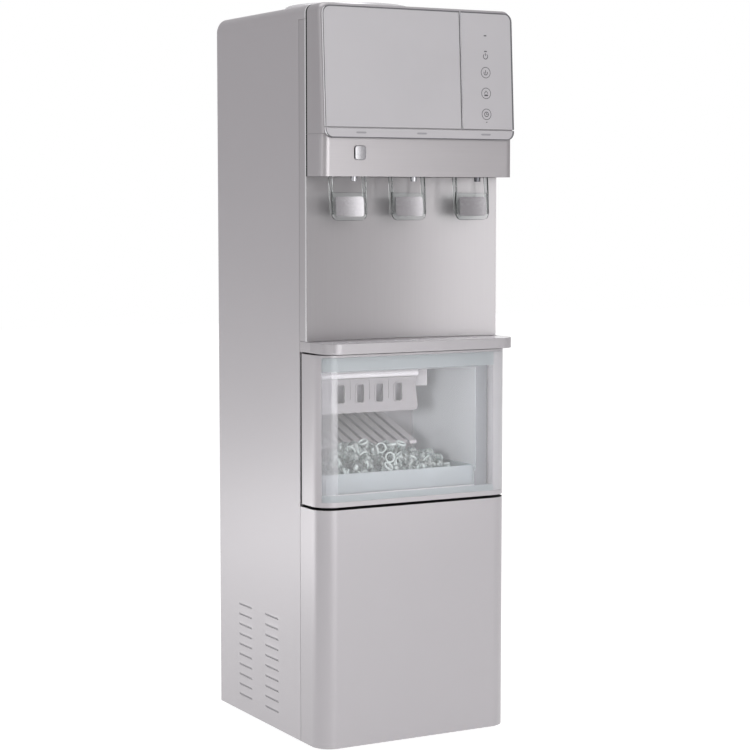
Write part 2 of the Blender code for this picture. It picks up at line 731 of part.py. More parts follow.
def make_top_cover(looks):
    """Make the moulded top with its rounded edges, skirt and bottle well."""
    front, back = FRAME_Y, BACK_Y
    loops = [[(x, front, z) for x, z in arched_outline(HALF_WIDTH, SKIRT_Z, TOP_Z, COVER_ROUND)]]
    for step in range(CORNER_STEPS + 1):
        angle = math.radians(90 * step / CORNER_STEPS)
        drop = COVER_ROUND * (1 - math.cos(angle)) * COVER_BACK_SHARE
        y = back - COVER_ROUND * (1 - math.sin(angle))
        loop = [(x, y, z if z <= SKIRT_Z else z - drop)
                for x, z in arched_outline(HALF_WIDTH, SKIRT_Z, TOP_Z, COVER_ROUND)]
        loops.append(loop)
    form = bmesh.new()
    add_loft(form, loops)
    cover = make_object("top_cover", form, looks["silver"])
    wall = COVER_TOP_WALL
    inner = arched_outline(HALF_WIDTH - wall, SKIRT_Z - CUT_OVERRUN, TOP_Z - wall, COVER_ROUND - wall)
    hollow = prism("cover_hollow", inner, front + wall, back - 2 * wall, "Y")
    well = rod("cover_well", WELL_RADIUS, (0, WELL_Y, SKIRT_Z), (0, WELL_Y, TOP_Z + CUT_OVERRUN), None, 40)
    cut(cover, hollow, well)


def make_bottle_seat(looks):
    """Make the collar, the receiver cup and the feed probe that the bottle lands on."""
    seat = TOP_Z + SEAT_GAP
    top = TOP_Z + COLLAR_HEIGHT
    crown = arc((COLLAR_RADIUS - COLLAR_ROUND, top - COLLAR_ROUND), COLLAR_ROUND, 0, 90, 4)
    lip = arc((COLLAR_MOUTH_RADIUS + COLLAR_WALL / 2, top - COLLAR_WALL / 2), COLLAR_WALL / 2, 90, 270, 4)
    profile = ([(COLLAR_RADIUS - COLLAR_WALL, seat), (COLLAR_RADIUS, seat)] + crown + lip
               + [(COLLAR_RADIUS - COLLAR_WALL, top - COLLAR_CROWN)])
    turned("bottle_collar", profile, (0, WELL_Y), looks["chrome"], 40)

    flange = COLLAR_RADIUS - COLLAR_WALL - SEAT_GAP
    outer = WELL_RADIUS - RUN_GAP
    wall = RECEIVER_WALL
    floor = TOP_Z - RECEIVER_DEPTH
    profile = [(SPIGOT_BORE, floor - SPIGOT_LENGTH), (SPIGOT_RADIUS, floor - SPIGOT_LENGTH),
               (SPIGOT_RADIUS, floor - wall), (outer - RECEIVER_DRAFT - wall, floor - wall),
               (outer - RECEIVER_DRAFT, floor), (outer, seat), (flange, seat),
               (flange, seat + RECEIVER_FLANGE), (outer - wall, seat + RECEIVER_FLANGE),
               (outer - RECEIVER_DRAFT - wall, floor + wall), (PROBE_BASE_RADIUS + wall, floor),
               (SPIGOT_BORE, floor)]
    turned("bottle_receiver", profile, (0, WELL_Y), looks["white"], 40)

    stand = floor + SEAT_GAP
    tip = stand + PROBE_BASE + PROBE_HEIGHT
    profile = ([(0, stand), (PROBE_BASE_RADIUS, stand), (PROBE_BASE_RADIUS, stand + PROBE_BASE),
                (PROBE_RADIUS, stand + PROBE_BASE + PROBE_FILLET)]
               + arc((0, tip - PROBE_RADIUS), PROBE_RADIUS, 0, 90, 4)[:-1] + [(0, tip)])
    turned("feed_probe", profile, (0, WELL_Y), looks["white"])


# Upper front

def make_front_frame(looks):
    """Make the moulded frame that carries the recess panel, the taps and the head."""
    low = DECK_TOP_Z + SEAT_GAP
    high = SKIRT_Z - SEAT_GAP
    front, back = FRAME_Y, SHELL_Y - SEAT_GAP
    inner = HALF_WIDTH - FRAME_WALL
    frame = block("front_frame", (-HALF_WIDTH, front, low), (HALF_WIDTH, back, high), looks["silver"])
    pocket = block("frame_pocket", (-inner, front - CUT_OVERRUN, low - CUT_OVERRUN),
                   (inner, back - FRAME_FLANGE, BAR_Z + SEAT_GAP))
    window = block("frame_window", (-FRAME_WINDOW_HALF, front - CUT_OVERRUN, low - CUT_OVERRUN),
                   (FRAME_WINDOW_HALF, back + CUT_OVERRUN, BAR_Z + SEAT_GAP))
    upper = block("frame_upper_window", (-FRAME_WINDOW_HALF, front - CUT_OVERRUN, HEAD_Z + FRAME_FLANGE),
                  (FRAME_WINDOW_HALF, back + CUT_OVERRUN, high - FRAME_DEPTH / 2))
    cut(frame, pocket, window, upper)


def recess_arc(offset):
    """Return the plan arc of the recess, moved back by an offset, from left to right."""
    half = HALF_WIDTH - SEAT_GAP
    lead = RECESS_SAG * (1 - ((HALF_WIDTH - FRAME_WALL) / half) ** 2)
    ends_y = FRAME_Y - SEAT_GAP - PANEL_SHEET - lead
    radius = (half * half + RECESS_SAG * RECESS_SAG) / (2 * RECESS_SAG)
    centre_y = ends_y + RECESS_SAG - radius
    points = []
    for step in range(RECESS_STEPS + 1):
        x = -half + 2 * half * step / RECESS_STEPS
        points.append((x, centre_y + math.sqrt(radius * radius - x * x) + offset))
    return points


def make_recess_panel(looks):
    """Make the hollow-curved brushed panel behind the taps."""
    outline = recess_arc(0) + list(reversed(recess_arc(PANEL_SHEET)))
    prism("recess_panel", outline, DECK_TOP_Z + SEAT_GAP, BAR_Z - SEAT_GAP, "Z", looks["brushed"])


def tap_axis(place):
    """Return the nozzle's x, and how far this tap is set back along the hollow recess."""
    side, middle = TAP_PLACES[place]
    return side * TAP_SPACING, middle * TAP_SETBACK


def make_tap_bar(looks):
    """Make the box-shaped bar over the taps, with an opening in its floor for each tap."""
    front = FACE_Y - TAP_BAR_FRONT
    back = FRAME_Y - SEAT_GAP
    wall = HOUSING_WALL
    outline = cover_outline(front, back, HALF_WIDTH, TAP_BAR_CORNER)
    bar = prism("tap_bar", outline, BAR_Z, HEAD_Z, "Z", looks["brushed"])
    inner = cover_outline(front + wall, back + CUT_OVERRUN, HALF_WIDTH - wall, TAP_BAR_CORNER - wall)
    cut(bar, prism("bar_hollow", inner, BAR_Z + wall, HEAD_Z + CUT_OVERRUN, "Z"))
    for place in TAP_PLACES:
        x, setback = tap_axis(place)
        half = PADDLE_WIDTH / 2 + 2 * RUN_GAP
        y0 = FACE_Y + TAP_NOZZLE_SETBACK - TAP_NOZZLE_RADIUS - 2 * RUN_GAP + setback - TAP_BAR_FRONT
        y1 = FACE_Y - TAP_BAR_FRONT + PADDLE_PIVOT_SETBACK + PADDLE_OPENING_REAR + setback
        cut(bar, block(f"bar_opening_{place}", (x - half, y0, BAR_Z - CUT_OVERRUN),
                       (x + half, y1, BAR_Z + wall + CUT_OVERRUN)))
    grow = RUN_GAP / 2
    z0 = BAR_Z + LOCK_RISE - LOCK_HEIGHT / 2
    hole = rounded_rectangle(LOCK_X - LOCK_WIDTH / 2 - grow, LOCK_X + LOCK_WIDTH / 2 + grow,
                             z0 - grow, z0 + LOCK_HEIGHT + grow, LOCK_CORNER + grow)
    cut(bar, prism("lock_opening", hole, front - CUT_OVERRUN, front + wall + CUT_OVERRUN, "Y"))


def make_lock_button(looks):
    """Make the child-lock push button with the flange that keeps it in the bar."""
    front = FACE_Y - TAP_BAR_FRONT
    z0 = BAR_Z + LOCK_RISE - LOCK_HEIGHT / 2
    x0, x1 = LOCK_X - LOCK_WIDTH / 2, LOCK_X + LOCK_WIDTH / 2
    outline = rounded_rectangle(x0, x1, z0, z0 + LOCK_HEIGHT, LOCK_CORNER)
    seat = front + HOUSING_WALL + SEAT_GAP
    back = seat + LOCK_FLANGE_THICKNESS
    button = prism("lock_button", outline, front - LOCK_PROUD, back - LOCK_FLANGE_THICKNESS / 2, "Y",
                   looks["chrome"])
    bevel = button.modifiers.new("soft_edge", "BEVEL")
    bevel.width = LOCK_EDGE
    bevel.segments = 1
    bevel.angle_limit = math.radians(60)
    flange = rounded_rectangle(x0 - LOCK_FLANGE, x1 + LOCK_FLANGE, z0 - LOCK_FLANGE,
                               z0 + LOCK_HEIGHT + LOCK_FLANGE, LOCK_CORNER)
    join(button, prism("lock_flange", flange, seat, back, "Y"))
    set_axis(button, (LOCK_X, front, z0 + LOCK_HEIGHT / 2))


def raked(x, y, z):
    """Lean a point of the head's front by the rake of the glass, about the glass's top edge."""
    return (x, y - (GLASS_TOP_Z - z) * TAN_RAKE, z)


def make_head_housing(looks):
    """Make the hood of the head: round edges, raked front, open towards the cabinet."""
    back = FRAME_Y - SEAT_GAP
    front = GLASS_TOP_Y + GLASS_THICKNESS / math.cos(math.radians(RAKE_DEG)) + SEAT_GAP
    low, high = HEAD_Z + SEAT_GAP, TOP_Z

    def section(y, inset, base, crown, half, radius, lean):
        points = []
        for x, z in arched_outline(half - inset, base, crown - inset, max(radius - inset, radius / 4)):
            points.append(raked(x, y, z) if lean else (x, y, z))
        return points

    loops = [section(back, 0, low, high, HALF_WIDTH, HEAD_ROUND, False)]
    for step in range(CORNER_STEPS + 1):
        angle = math.radians(90 * step / CORNER_STEPS)
        inset = HEAD_FRONT_ROUND * (1 - math.cos(angle))
        y = front + HEAD_FRONT_ROUND * (1 - math.sin(angle))
        loops.append(section(y, inset, low, high, HALF_WIDTH, HEAD_ROUND, True))
    form = bmesh.new()
    add_loft(form, loops)
    housing = make_object("head_housing", form, looks["silver"])

    wall = HOUSING_WALL
    hollow = bmesh.new()
    stations = ((back + CUT_OVERRUN, 0, False), (front + HEAD_ROUND, 0, True),
                (front + wall, HEAD_HOLLOW_INSET, True))
    add_loft(hollow, [section(y, inset, low + wall, high - wall, HALF_WIDTH - wall, HEAD_ROUND - wall, lean)
                      for y, inset, lean in stations])
    cut(housing, make_object("head_hollow", hollow))


def glass_pane(name, outline, looks):
    """Make one pane of the raked front from its outline in the glass plane."""
    form = bmesh.new()
    depth = GLASS_THICKNESS / math.cos(math.radians(RAKE_DEG))
    front = [raked(x, GLASS_TOP_Y, z) for x, z in outline]
    back = [raked(x, GLASS_TOP_Y + depth, z) for x, z in outline]
    add_loft(form, [front, back])
    pane = make_object(name, form, looks["glass"])
    bevel = pane.modifiers.new("ground_edge", "BEVEL")
    bevel.width = GLASS_SEAM / 3
    bevel.segments = 1
    bevel.angle_limit = math.radians(60)


def make_glass_front(looks):
    """Make the display glass, the control pane beside it and the label strip below."""
    half, seam, radius = GLASS_HALF, GLASS_SEAM, GLASS_CORNER
    middle = GLASS_BOTTOM_Z + LABEL_STRIP_HEIGHT
    top = GLASS_TOP_Z
    left = (arc((-half + radius, top - radius), radius, 90, 180)
            + [(-half, middle), (DIVIDER_X - seam / 2, middle), (DIVIDER_X - seam / 2, top)])
    right = ([(DIVIDER_X + seam / 2, top), (DIVIDER_X + seam / 2, middle), (half, middle)]
             + arc((half - radius, top - radius), radius, 0, 90))
    strip_top = middle - seam
    strip = ([(half, strip_top), (-half, strip_top)]
             + arc((-half + radius, GLASS_BOTTOM_Z + radius), radius, 180, 270)
             + arc((half - radius, GLASS_BOTTOM_Z + radius), radius, 270, 360))
    glass_pane("display_glass", left, looks)
    glass_pane("control_pane", right, looks)
    glass_pane("label_strip", strip, looks)


# Taps

def make_tap(place, looks):
    """Make one tap: valve block with its nozzle, pivot pin, clear paddle and push pad."""
    x, setback = tap_axis(place)
    bar_front = FACE_Y - TAP_BAR_FRONT + setback
    nozzle_y = bar_front + TAP_NOZZLE_SETBACK
    block_front = bar_front + TAP_BLOCK_SETBACK
    pivot = (x, bar_front + PADDLE_PIVOT_SETBACK, BAR_Z + PADDLE_PIVOT_LIFT)
    base = BAR_Z + HOUSING_WALL + TAP_BLOCK_LIFT
    half = TAP_BLOCK_WIDTH / 2

    valve = block(f"tap_valve_{place}", (x - half, block_front, base),
                  (x + half, FRAME_Y - 2 * SEAT_GAP, base + TAP_BLOCK_HEIGHT), looks["white"])
    lip_top = base + TAP_LIP_HEIGHT
    web = block(f"tap_web_{place}", (x - TAP_LIP_WIDTH / 2, nozzle_y, base),
                (x + TAP_LIP_WIDTH / 2, block_front + CUT_OVERRUN, lip_top - RUN_GAP))
    tip = BAR_Z - TAP_NOZZLE_REACH
    spout = [(0, tip), (TAP_NOZZLE_TIP_RADIUS, tip), (TAP_NOZZLE_RADIUS, BAR_Z),
             (TAP_NOZZLE_RADIUS, lip_top), (0, lip_top)]
    nozzle = turned(f"tap_nozzle_{place}", spout, (x, nozzle_y), None, 16)
    bore = rod(f"tap_bore_{place}", TAP_BORE_RADIUS, (x, nozzle_y, tip - CUT_OVERRUN),
               (x, nozzle_y, base + TAP_LIP_HEIGHT / 2), None, 12)
    journal = rod(f"tap_journal_{place}", PADDLE_PIN_RADIUS + SEAT_GAP, (x - PADDLE_WIDTH, *pivot[1:]),
                  (x + PADDLE_WIDTH, *pivot[1:]), None, 16)
    join(valve, web, nozzle)
    cut(valve, bore, journal)

    reach = PADDLE_WIDTH / 2 + PADDLE_PIN_END
    rod(f"paddle_pin_{place}", PADDLE_PIN_RADIUS, (x - reach, *pivot[1:]), (x + reach, *pivot[1:]),
        looks["steel"], 16)

    axis = bpy.data.objects.new(f"paddle_axis_{place}", None)
    axis.location = pivot
    axis.rotation_euler = (math.radians(-PADDLE_LEAN_DEG), 0, 0)
    bpy.context.scene.collection.objects.link(axis)
    paddle = make_paddle(place, looks)
    pad = make_pad(place, looks)
    for piece in (paddle, pad):
        piece.parent = axis


def make_paddle(place, looks):
    """Make the clear U of one paddle, upright, with its pivot at the origin."""
    half, wall = PADDLE_WIDTH / 2, PADDLE_WALL
    foot = -PADDLE_LENGTH
    plate_top = foot + PADDLE_PLATE_HEIGHT
    outline = ([(half, plate_top), (-half, plate_top)]
               + arc((-half + PADDLE_CORNER, foot + PADDLE_CORNER), PADDLE_CORNER, 180, 270, 4)
               + arc((half - PADDLE_CORNER, foot + PADDLE_CORNER), PADDLE_CORNER, 270, 360, 4))
    paddle = prism(f"paddle_{place}", outline, -wall, 0, "Y", looks["clear"])
    eye = PADDLE_EYE_RADIUS
    arm = (arc((0, 0), eye, 0, 180, 8)
           + [(-PADDLE_ARM_DEPTH / 2, plate_top), (-PADDLE_ARM_TOE / 2, foot + PADDLE_CORNER),
              (PADDLE_ARM_TOE / 2, foot + PADDLE_CORNER), (PADDLE_ARM_DEPTH / 2, plate_top)])
    for label, low in (("a", -half), ("b", half - wall)):
        join(paddle, prism(f"paddle_arm_{label}_{place}", arm, low, low + wall, "X"))
    journal = rod(f"paddle_journal_{place}", PADDLE_PIN_RADIUS + SEAT_GAP, (-PADDLE_WIDTH, 0, 0),
                  (PADDLE_WIDTH, 0, 0), None, 16)
    cut(paddle, journal)
    for guide in [change.object for change in paddle.modifiers]:
        guide.parent = bpy.data.objects[f"paddle_axis_{place}"]
    return paddle


def make_pad(place, looks):
    """Make the satin push pad that is set on the front of a paddle."""
    low = -PADDLE_LENGTH + PAD_RISE
    outline = rounded_rectangle(-PAD_WIDTH / 2, PAD_WIDTH / 2, low, low + PAD_HEIGHT, PAD_CORNER)
    back = -PADDLE_WALL - SEAT_GAP
    return prism(f"paddle_pad_{place}", outline, back - PAD_THICKNESS, back, "Y", looks["pad"])


# Deck and drip tray

def make_deck(looks):
    """Make the shelf under the recess, with the pocket that takes the tray's tongue."""
    front = FACE_Y - TRAY_OVERHANG + TRAY_DEPTH + SEAT_GAP
    deck = block("dispensing_deck", (-HALF_WIDTH, front, DECK_Z),
                 (HALF_WIDTH, SHELL_Y - SEAT_GAP, DECK_TOP_Z), looks["silver"])
    heel = HALF_WIDTH - FRONT_LIP - 2 * SEAT_GAP
    join(deck, block("deck_heel", (-heel, SHELL_Y - CUT_OVERRUN, DECK_Z),
                     (heel, SHELL_Y + DECK_REAR, DECK_TOP_Z)))
    pocket_half = TONGUE_HALF + RUN_GAP
    pocket_back = front + TONGUE_LENGTH + RUN_GAP
    cut(deck, block("deck_pocket", (-pocket_half, front - CUT_OVERRUN, DECK_Z - CUT_OVERRUN),
                    (pocket_half, pocket_back, DECK_TOP_Z - DECK_TOP)))


def make_drip_tray(looks):
    """Make the pull-out drip tray and the grille plate that drops into it."""
    front = FACE_Y - TRAY_OVERHANG
    back = front + TRAY_DEPTH
    wall = TRAY_WALL
    tray = prism("drip_tray", cover_outline(front, back, HALF_WIDTH, TRAY_CORNER), DECK_Z, DECK_TOP_Z, "Z",
                 looks["silver"])
    tongue_top = DECK_TOP_Z - TONGUE_DROP
    join(tray, block("tray_tongue", (-TONGUE_HALF, back - CUT_OVERRUN, DECK_Z),
                     (TONGUE_HALF, back + TONGUE_LENGTH, tongue_top)))
    basin = cover_outline(front + 2 * wall, back - wall, HALF_WIDTH - 2 * wall, TRAY_CORNER - 2 * wall)
    seat = cover_outline(front + wall, back - wall, HALF_WIDTH - wall, TRAY_CORNER - wall)
    grille_low = DECK_TOP_Z - GRILLE_THICKNESS
    cut(tray, prism("tray_basin", basin, DECK_Z + wall, DECK_TOP_Z + CUT_OVERRUN, "Z"),
        prism("tray_seat", seat, grille_low - SEAT_GAP, DECK_TOP_Z + CUT_OVERRUN, "Z"))
    set_axis(tray, (0, back, DECK_Z))

    gap = RUN_GAP / 2
    plate = cover_outline(front + wall + gap, back - wall - gap, HALF_WIDTH - wall - gap,
                          TRAY_CORNER - wall - gap)
    grille = prism("drip_grille", plate, grille_low, DECK_TOP_Z, "Z", looks["silver"])
    drain_y = front + DRAIN_SETBACK
    holes = bmesh.new()
    for place in TAP_PLACES:
        x = tap_axis(place)[0]
        low, high = grille_low - CUT_OVERRUN, DECK_TOP_Z + CUT_OVERRUN
        add_prism(holes, ring((x, drain_y), DRAIN_HOLE_RADIUS, DRAIN_HOLE_SIDES), low, high)
        for sign in (-1, 1):
            centre = x + sign * DRAIN_SLOT_PITCH
            slot = rounded_rectangle(centre - DRAIN_SLOT_WIDTH / 2, centre + DRAIN_SLOT_WIDTH / 2,
                                     drain_y - DRAIN_SLOT_LENGTH / 2, drain_y + DRAIN_SLOT_LENGTH / 2,
                                     DRAIN_SLOT_CORNER, 3)
            add_prism(holes, slot, low, high)
    cut(grille, make_object("drain_cutter", holes))
    set_axis(grille, (0, drain_y, grille_low))


# Front covers: the fixed lower panel and the hinged ice door

def make_lower_panel(looks):
    """Make the fixed lower front cover."""
    low, high = FOOT_GAP, PANEL_TOP_Z
    back = SHELL_Y - SEAT_GAP
    panel = prism("lower_front_panel", cover_outline(FACE_Y, back, HALF_WIDTH, COVER_CORNER), low, high,
                  "Z", looks["silver"])
    wall = COVER_WALL
    inner = cover_outline(FACE_Y + wall, back + CUT_OVERRUN, HALF_WIDTH - wall, COVER_CORNER - wall)
    cut(panel, prism("panel_hollow", inner, low + wall, high - COVER_PLATE, "Z"))


def make_door(looks):
    """Make the ice door: painted surround, clear wrapped window, and its two hinge pins."""
    wall = COVER_WALL
    back = SHELL_Y - SIDE_SEAM
    axis = (HALF_WIDTH - HINGE_INSET, back - HINGE_INSET)
    hinge = bpy.data.objects.new("door_axis", None)
    hinge.location = (*axis, DOOR_Z)
    bpy.context.scene.collection.objects.link(hinge)

    frame = prism("door_frame", cover_outline(FACE_Y, back, HALF_WIDTH, COVER_CORNER), DOOR_Z, DOOR_TOP_Z,
                  "Z", looks["silver"])
    inner = cover_outline(FACE_Y + wall, back + CUT_OVERRUN, HALF_WIDTH - wall, COVER_CORNER - wall)
    hollow = prism("door_hollow", inner, DOOR_Z + COVER_PLATE, DOOR_TOP_Z - COVER_PLATE, "Z")
    sill, head = DOOR_Z + WINDOW_SILL, DOOR_TOP_Z - WINDOW_HEAD
    mouth = block("door_mouth", (-WINDOW_HALF, FACE_Y - CUT_OVERRUN, sill),
                  (WINDOW_HALF, FACE_Y + WINDOW_CUT_DEPTH, head))
    bore = rod("door_bore", HINGE_PIN_RADIUS + SEAT_GAP, (*axis, DOOR_Z - CUT_OVERRUN),
               (*axis, DOOR_TOP_Z + CUT_OVERRUN), None, 12)
    cut(frame, hollow, mouth, bore)

    rim = cover_outline(FACE_Y, back, HALF_WIDTH, COVER_CORNER)
    window = prism("door_window", rim, sill + SEAT_GAP, head - SEAT_GAP, "Z", looks["clear"])
    core = cover_outline(FACE_Y + wall, back + CUT_OVERRUN, HALF_WIDTH - wall, COVER_CORNER - wall)
    cut(window, prism("window_core", core, sill - CUT_OVERRUN, head + CUT_OVERRUN, "Z"))
    edge = WINDOW_HALF - SEAT_GAP
    keep = block("window_extent", (-edge, FACE_Y - CUT_OVERRUN, sill - CUT_OVERRUN),
                 (edge, FACE_Y + COVER_CORNER, head + CUT_OVERRUN))
    combine(window, keep, "INTERSECT")
    for piece in (frame, window):
        set_axis(piece, (*axis, DOOR_Z))
        piece.location = (0, 0, 0)
        piece.parent = hinge

    washer = HINGE_WASHER_RADIUS
    pin = HINGE_PIN_RADIUS
    low = PANEL_TOP_Z + SEAT_GAP
    shoulder = DOOR_Z - SEAT_GAP
    profile = [(0, low), (washer, low), (washer, shoulder), (pin, shoulder),
               (pin, DOOR_Z + COVER_PLATE - SEAT_GAP), (0, DOOR_Z + COVER_PLATE - SEAT_GAP)]
    turned("door_pin_lower", profile, axis, looks["steel"], 12)
    high = DECK_Z - SEAT_GAP
    shoulder = DOOR_TOP_Z + SEAT_GAP
    profile = [(0, DOOR_TOP_Z - COVER_PLATE + SEAT_GAP), (pin, DOOR_TOP_Z - COVER_PLATE + SEAT_GAP),
               (pin, shoulder), (washer, shoulder), (washer, high), (0, high)]
    turned("door_pin_upper", profile, axis, looks["steel"], 12)


# Ice compartment

CHAMBER_Y = SHELL_Y - CHAMBER_REACH
CHAMBER_Z = DOOR_Z + CHAMBER_BASE_GAP
CHAMBER_TOP_Z = DOOR_TOP_Z - CHAMBER_TOP_GAP
CHAMBER_FLOOR_Z = CHAMBER_Z + CHAMBER_FLOOR
CHAMBER_BACK_Y = CHAMBER_Y + CHAMBER_DEPTH
CEILING_Z = CHAMBER_TOP_Z - CHAMBER_CEILING
MAKER_X0 = -CHAMBER_INNER_HALF + MAKER_LEFT
MAKER_X1 = CHAMBER_INNER_HALF - MAKER_RIGHT_SPACE
MAKER_Y = CHAMBER_Y + MAKER_SETBACK
BAR_LEVEL_Z = CHAMBER_Z + MAKER_BAR_LEVEL
MOULD_Y = MAKER_Y + MOULD_AXIS_SETBACK
MOULD_Z = BAR_LEVEL_Z - MOULD_AXIS_DROP


def make_chamber(looks):
    """Make the insulated ice box with its stepped mouth."""
    outer, inner = CHAMBER_OUTER_HALF, CHAMBER_INNER_HALF
    back = CHAMBER_BACK_Y + CHAMBER_BACK
    chamber = block("ice_chamber", (-outer, CHAMBER_Y, CHAMBER_Z), (outer, back, CHAMBER_TOP_Z),
                    looks["liner"])
    wide = HALF_WIDTH - SHEET - SEAT_GAP
    join(chamber, block("chamber_body", (-wide, SHELL_Y + 2 * SHEET, CHAMBER_Z),
                        (wide, back, CHAMBER_TOP_Z)))
    mouth_top = CHAMBER_FLOOR_Z + CHAMBER_MOUTH_TOP - CHAMBER_FLOOR - CHAMBER_BASE_GAP
    step_z = CHAMBER_Z + CHAMBER_STEP - CHAMBER_FLOOR - SHEET
    low = inner - CHAMBER_STEP_IN
    stepped = [(-low, CHAMBER_FLOOR_Z), (low, CHAMBER_FLOOR_Z), (low, step_z), (inner, step_z),
               (inner, mouth_top), (-inner, mouth_top), (-inner, step_z), (-low, step_z)]
    mouth = prism("chamber_mouth", stepped, CHAMBER_Y - CUT_OVERRUN, CHAMBER_BACK_Y, "Y")
    loft = block("chamber_loft", (-inner, CHAMBER_Y + CHAMBER_LIP, step_z),
                 (inner, CHAMBER_BACK_Y, CEILING_Z))
    cut(chamber, mouth, loft)


def make_ice_bin(looks):
    """Make the pull-out ice bin with its rolled rim."""
    half = CHAMBER_INNER_HALF - CHAMBER_STEP_IN - BIN_SIDE_GAP
    front = CHAMBER_Y
    back = front + BIN_DEPTH
    low = CHAMBER_FLOOR_Z + SEAT_GAP
    high = low + BIN_HEIGHT
    wall = BIN_WALL
    box = block("ice_bin", (-half, front, low), (half, back, high), looks["clear"])
    rim_out = BIN_RIM_OUT
    join(box, block("bin_rim", (-half - rim_out, front, high - BIN_RIM),
                    (half + rim_out, back + rim_out, high)))
    cut(box, block("bin_inside", (-half + wall, front + wall, low + wall),
                   (half - wall, back - wall, high + CUT_OVERRUN)))
    set_axis(box, (0, front, low))


def make_ice_maker(looks):
    """Make the ice maker: housing, curtain, evaporator, tilting mould and its motor."""
    make_maker_housing(looks)
    make_curtain(looks)
    make_evaporator(looks)
    make_mould(looks)
    make_motor(looks)


def make_maker_housing(looks):
    """Make the housing under the ceiling, with its round lower front edge and the mould's ear."""
    back = MAKER_Y + MAKER_DEPTH
    top = CEILING_Z - SEAT_GAP
    low = BAR_LEVEL_Z
    radius = MAKER_BAR / 2
    outline = (arc((MAKER_Y + radius, low + radius), radius, 90, 270, 6)
               + [(back, low), (back, top), (MAKER_Y + MAKER_BAR, top),
                  (MAKER_Y + MAKER_BAR, low + MAKER_BAR)])
    housing = prism("ice_maker_housing", outline, MAKER_X0, MAKER_X1, "X", looks["white"])
    ear_half = MOULD_STUB_RADIUS * 2
    bearing = MOULD_STUB_RADIUS + SEAT_GAP
    ear = ([(MOULD_Y - MAKER_EAR_LEAD, low + CUT_OVERRUN), (MOULD_Y - ear_half, MOULD_Z)]
           + arc((MOULD_Y, MOULD_Z), ear_half, 180, 360, 8)[1:-1]
           + [(MOULD_Y + ear_half, MOULD_Z), (MOULD_Y - SEAT_GAP - ear_half / 2, low + CUT_OVERRUN)])
    join(housing, prism("maker_ear", ear, MAKER_X0, MAKER_X0 + MAKER_EAR, "X"))
    cut(housing, rod("maker_bearing", bearing, (MAKER_X0 - CUT_OVERRUN, MOULD_Y, MOULD_Z),
                     (MAKER_X0 + MAKER_EAR + RUN_GAP, MOULD_Y, MOULD_Z), None, 12))


def make_curtain(looks):
    """Make the curtain in front of the mould, with its row of windows."""
    top = BAR_LEVEL_Z - SEAT_GAP
    low = top - CURTAIN_DROP
    x0, x1 = MAKER_X0, MAKER_X1
    radius = CURTAIN_CORNER
    outline = ([(x1 - CURTAIN_TAPER, top), (x0, top), (x0, low)]
               + arc((x1 - radius, low + radius), radius, 270, 360, 4))
    front = MAKER_Y + CURTAIN_SETBACK
    curtain = prism("ice_curtain", outline, front, front + CURTAIN_THICKNESS, "Y", looks["white"])
    windows = bmesh.new()
    trims = bmesh.new()
    length = x1 - x0
    half_width = CURTAIN_WINDOW_WIDTH / 2
    z0 = low + CURTAIN_WINDOW_RISE
    z1 = z0 + CURTAIN_WINDOW_HEIGHT
    proud = front - CURTAIN_RIM_PROUD
    for index in range(CURTAIN_WINDOWS):
        centre = x0 + (CURTAIN_FIRST_SHARE + index * CURTAIN_PITCH_SHARE) * length
        shape = rounded_rectangle(centre - half_width, centre + half_width, z0, z1, half_width / 2, 3)
        add_prism(windows, shape, proud - CUT_OVERRUN, front + CURTAIN_THICKNESS + CUT_OVERRUN, "Y")
        rim = rounded_rectangle(centre - half_width - CURTAIN_RIM, centre + half_width + CURTAIN_RIM,
                                z0 - CURTAIN_RIM, z1 + CURTAIN_RIM, half_width, 3)
        add_prism(trims, rim, proud, front + CURTAIN_THICKNESS / 2, "Y")
        rib_x = centre - CURTAIN_PITCH_SHARE * length / 2 - CURTAIN_RIB_WIDTH / 2
        rib = rectangle(rib_x, rib_x + CURTAIN_RIB_WIDTH, top - CURTAIN_RIB_DROP, top - CURTAIN_RIB_WIDTH)
        add_prism(trims, rib, proud, front + CURTAIN_THICKNESS / 2, "Y")
    join(curtain, make_object("curtain_trims", trims))
    cut(curtain, make_object("curtain_windows", windows))


def make_evaporator(looks):
    """Make the evaporator plate with the fingers that the ice grows on."""
    x0 = MAKER_X0 + MAKER_EAR + MOULD_END_GAP + MOULD_WALL + EVAPORATOR_INSET
    x1 = MAKER_X1 - MAKER_EAR - MOULD_END_GAP - MOULD_WALL - EVAPORATOR_INSET
    z0 = MOULD_Z + EVAPORATOR_RISE
    z1 = z0 + EVAPORATOR_PLATE
    plate = block("evaporator", (x0, MOULD_Y - EVAPORATOR_HALF_DEPTH, z0),
                  (x1, MOULD_Y + EVAPORATOR_HALF_DEPTH, z1), looks["steel"])
    neck_y = MOULD_Y - EVAPORATOR_HALF_DEPTH
    join(plate, block("evaporator_neck", (x0, neck_y, z0 + EVAPORATOR_PLATE / 2),
                      (x1, neck_y + EVAPORATOR_NECK, BAR_LEVEL_Z - SEAT_GAP)))
    fingers = bmesh.new()
    pitch = (x1 - x0) / FINGER_COLUMNS
    for row in (-1, 1):
        for column in range(FINGER_COLUMNS):
            x = x0 + column * pitch + pitch / 2
            y = MOULD_Y + row * FINGER_ROW_HALF
            shape = ring((x, y), FINGER_RADIUS, FINGER_SIDES)
            root = z1 - EVAPORATOR_PLATE / 2
            add_prism(fingers, shape, root - FINGER_LENGTH, root, "Z")
    join(plate, make_object("evaporator_fingers", fingers))


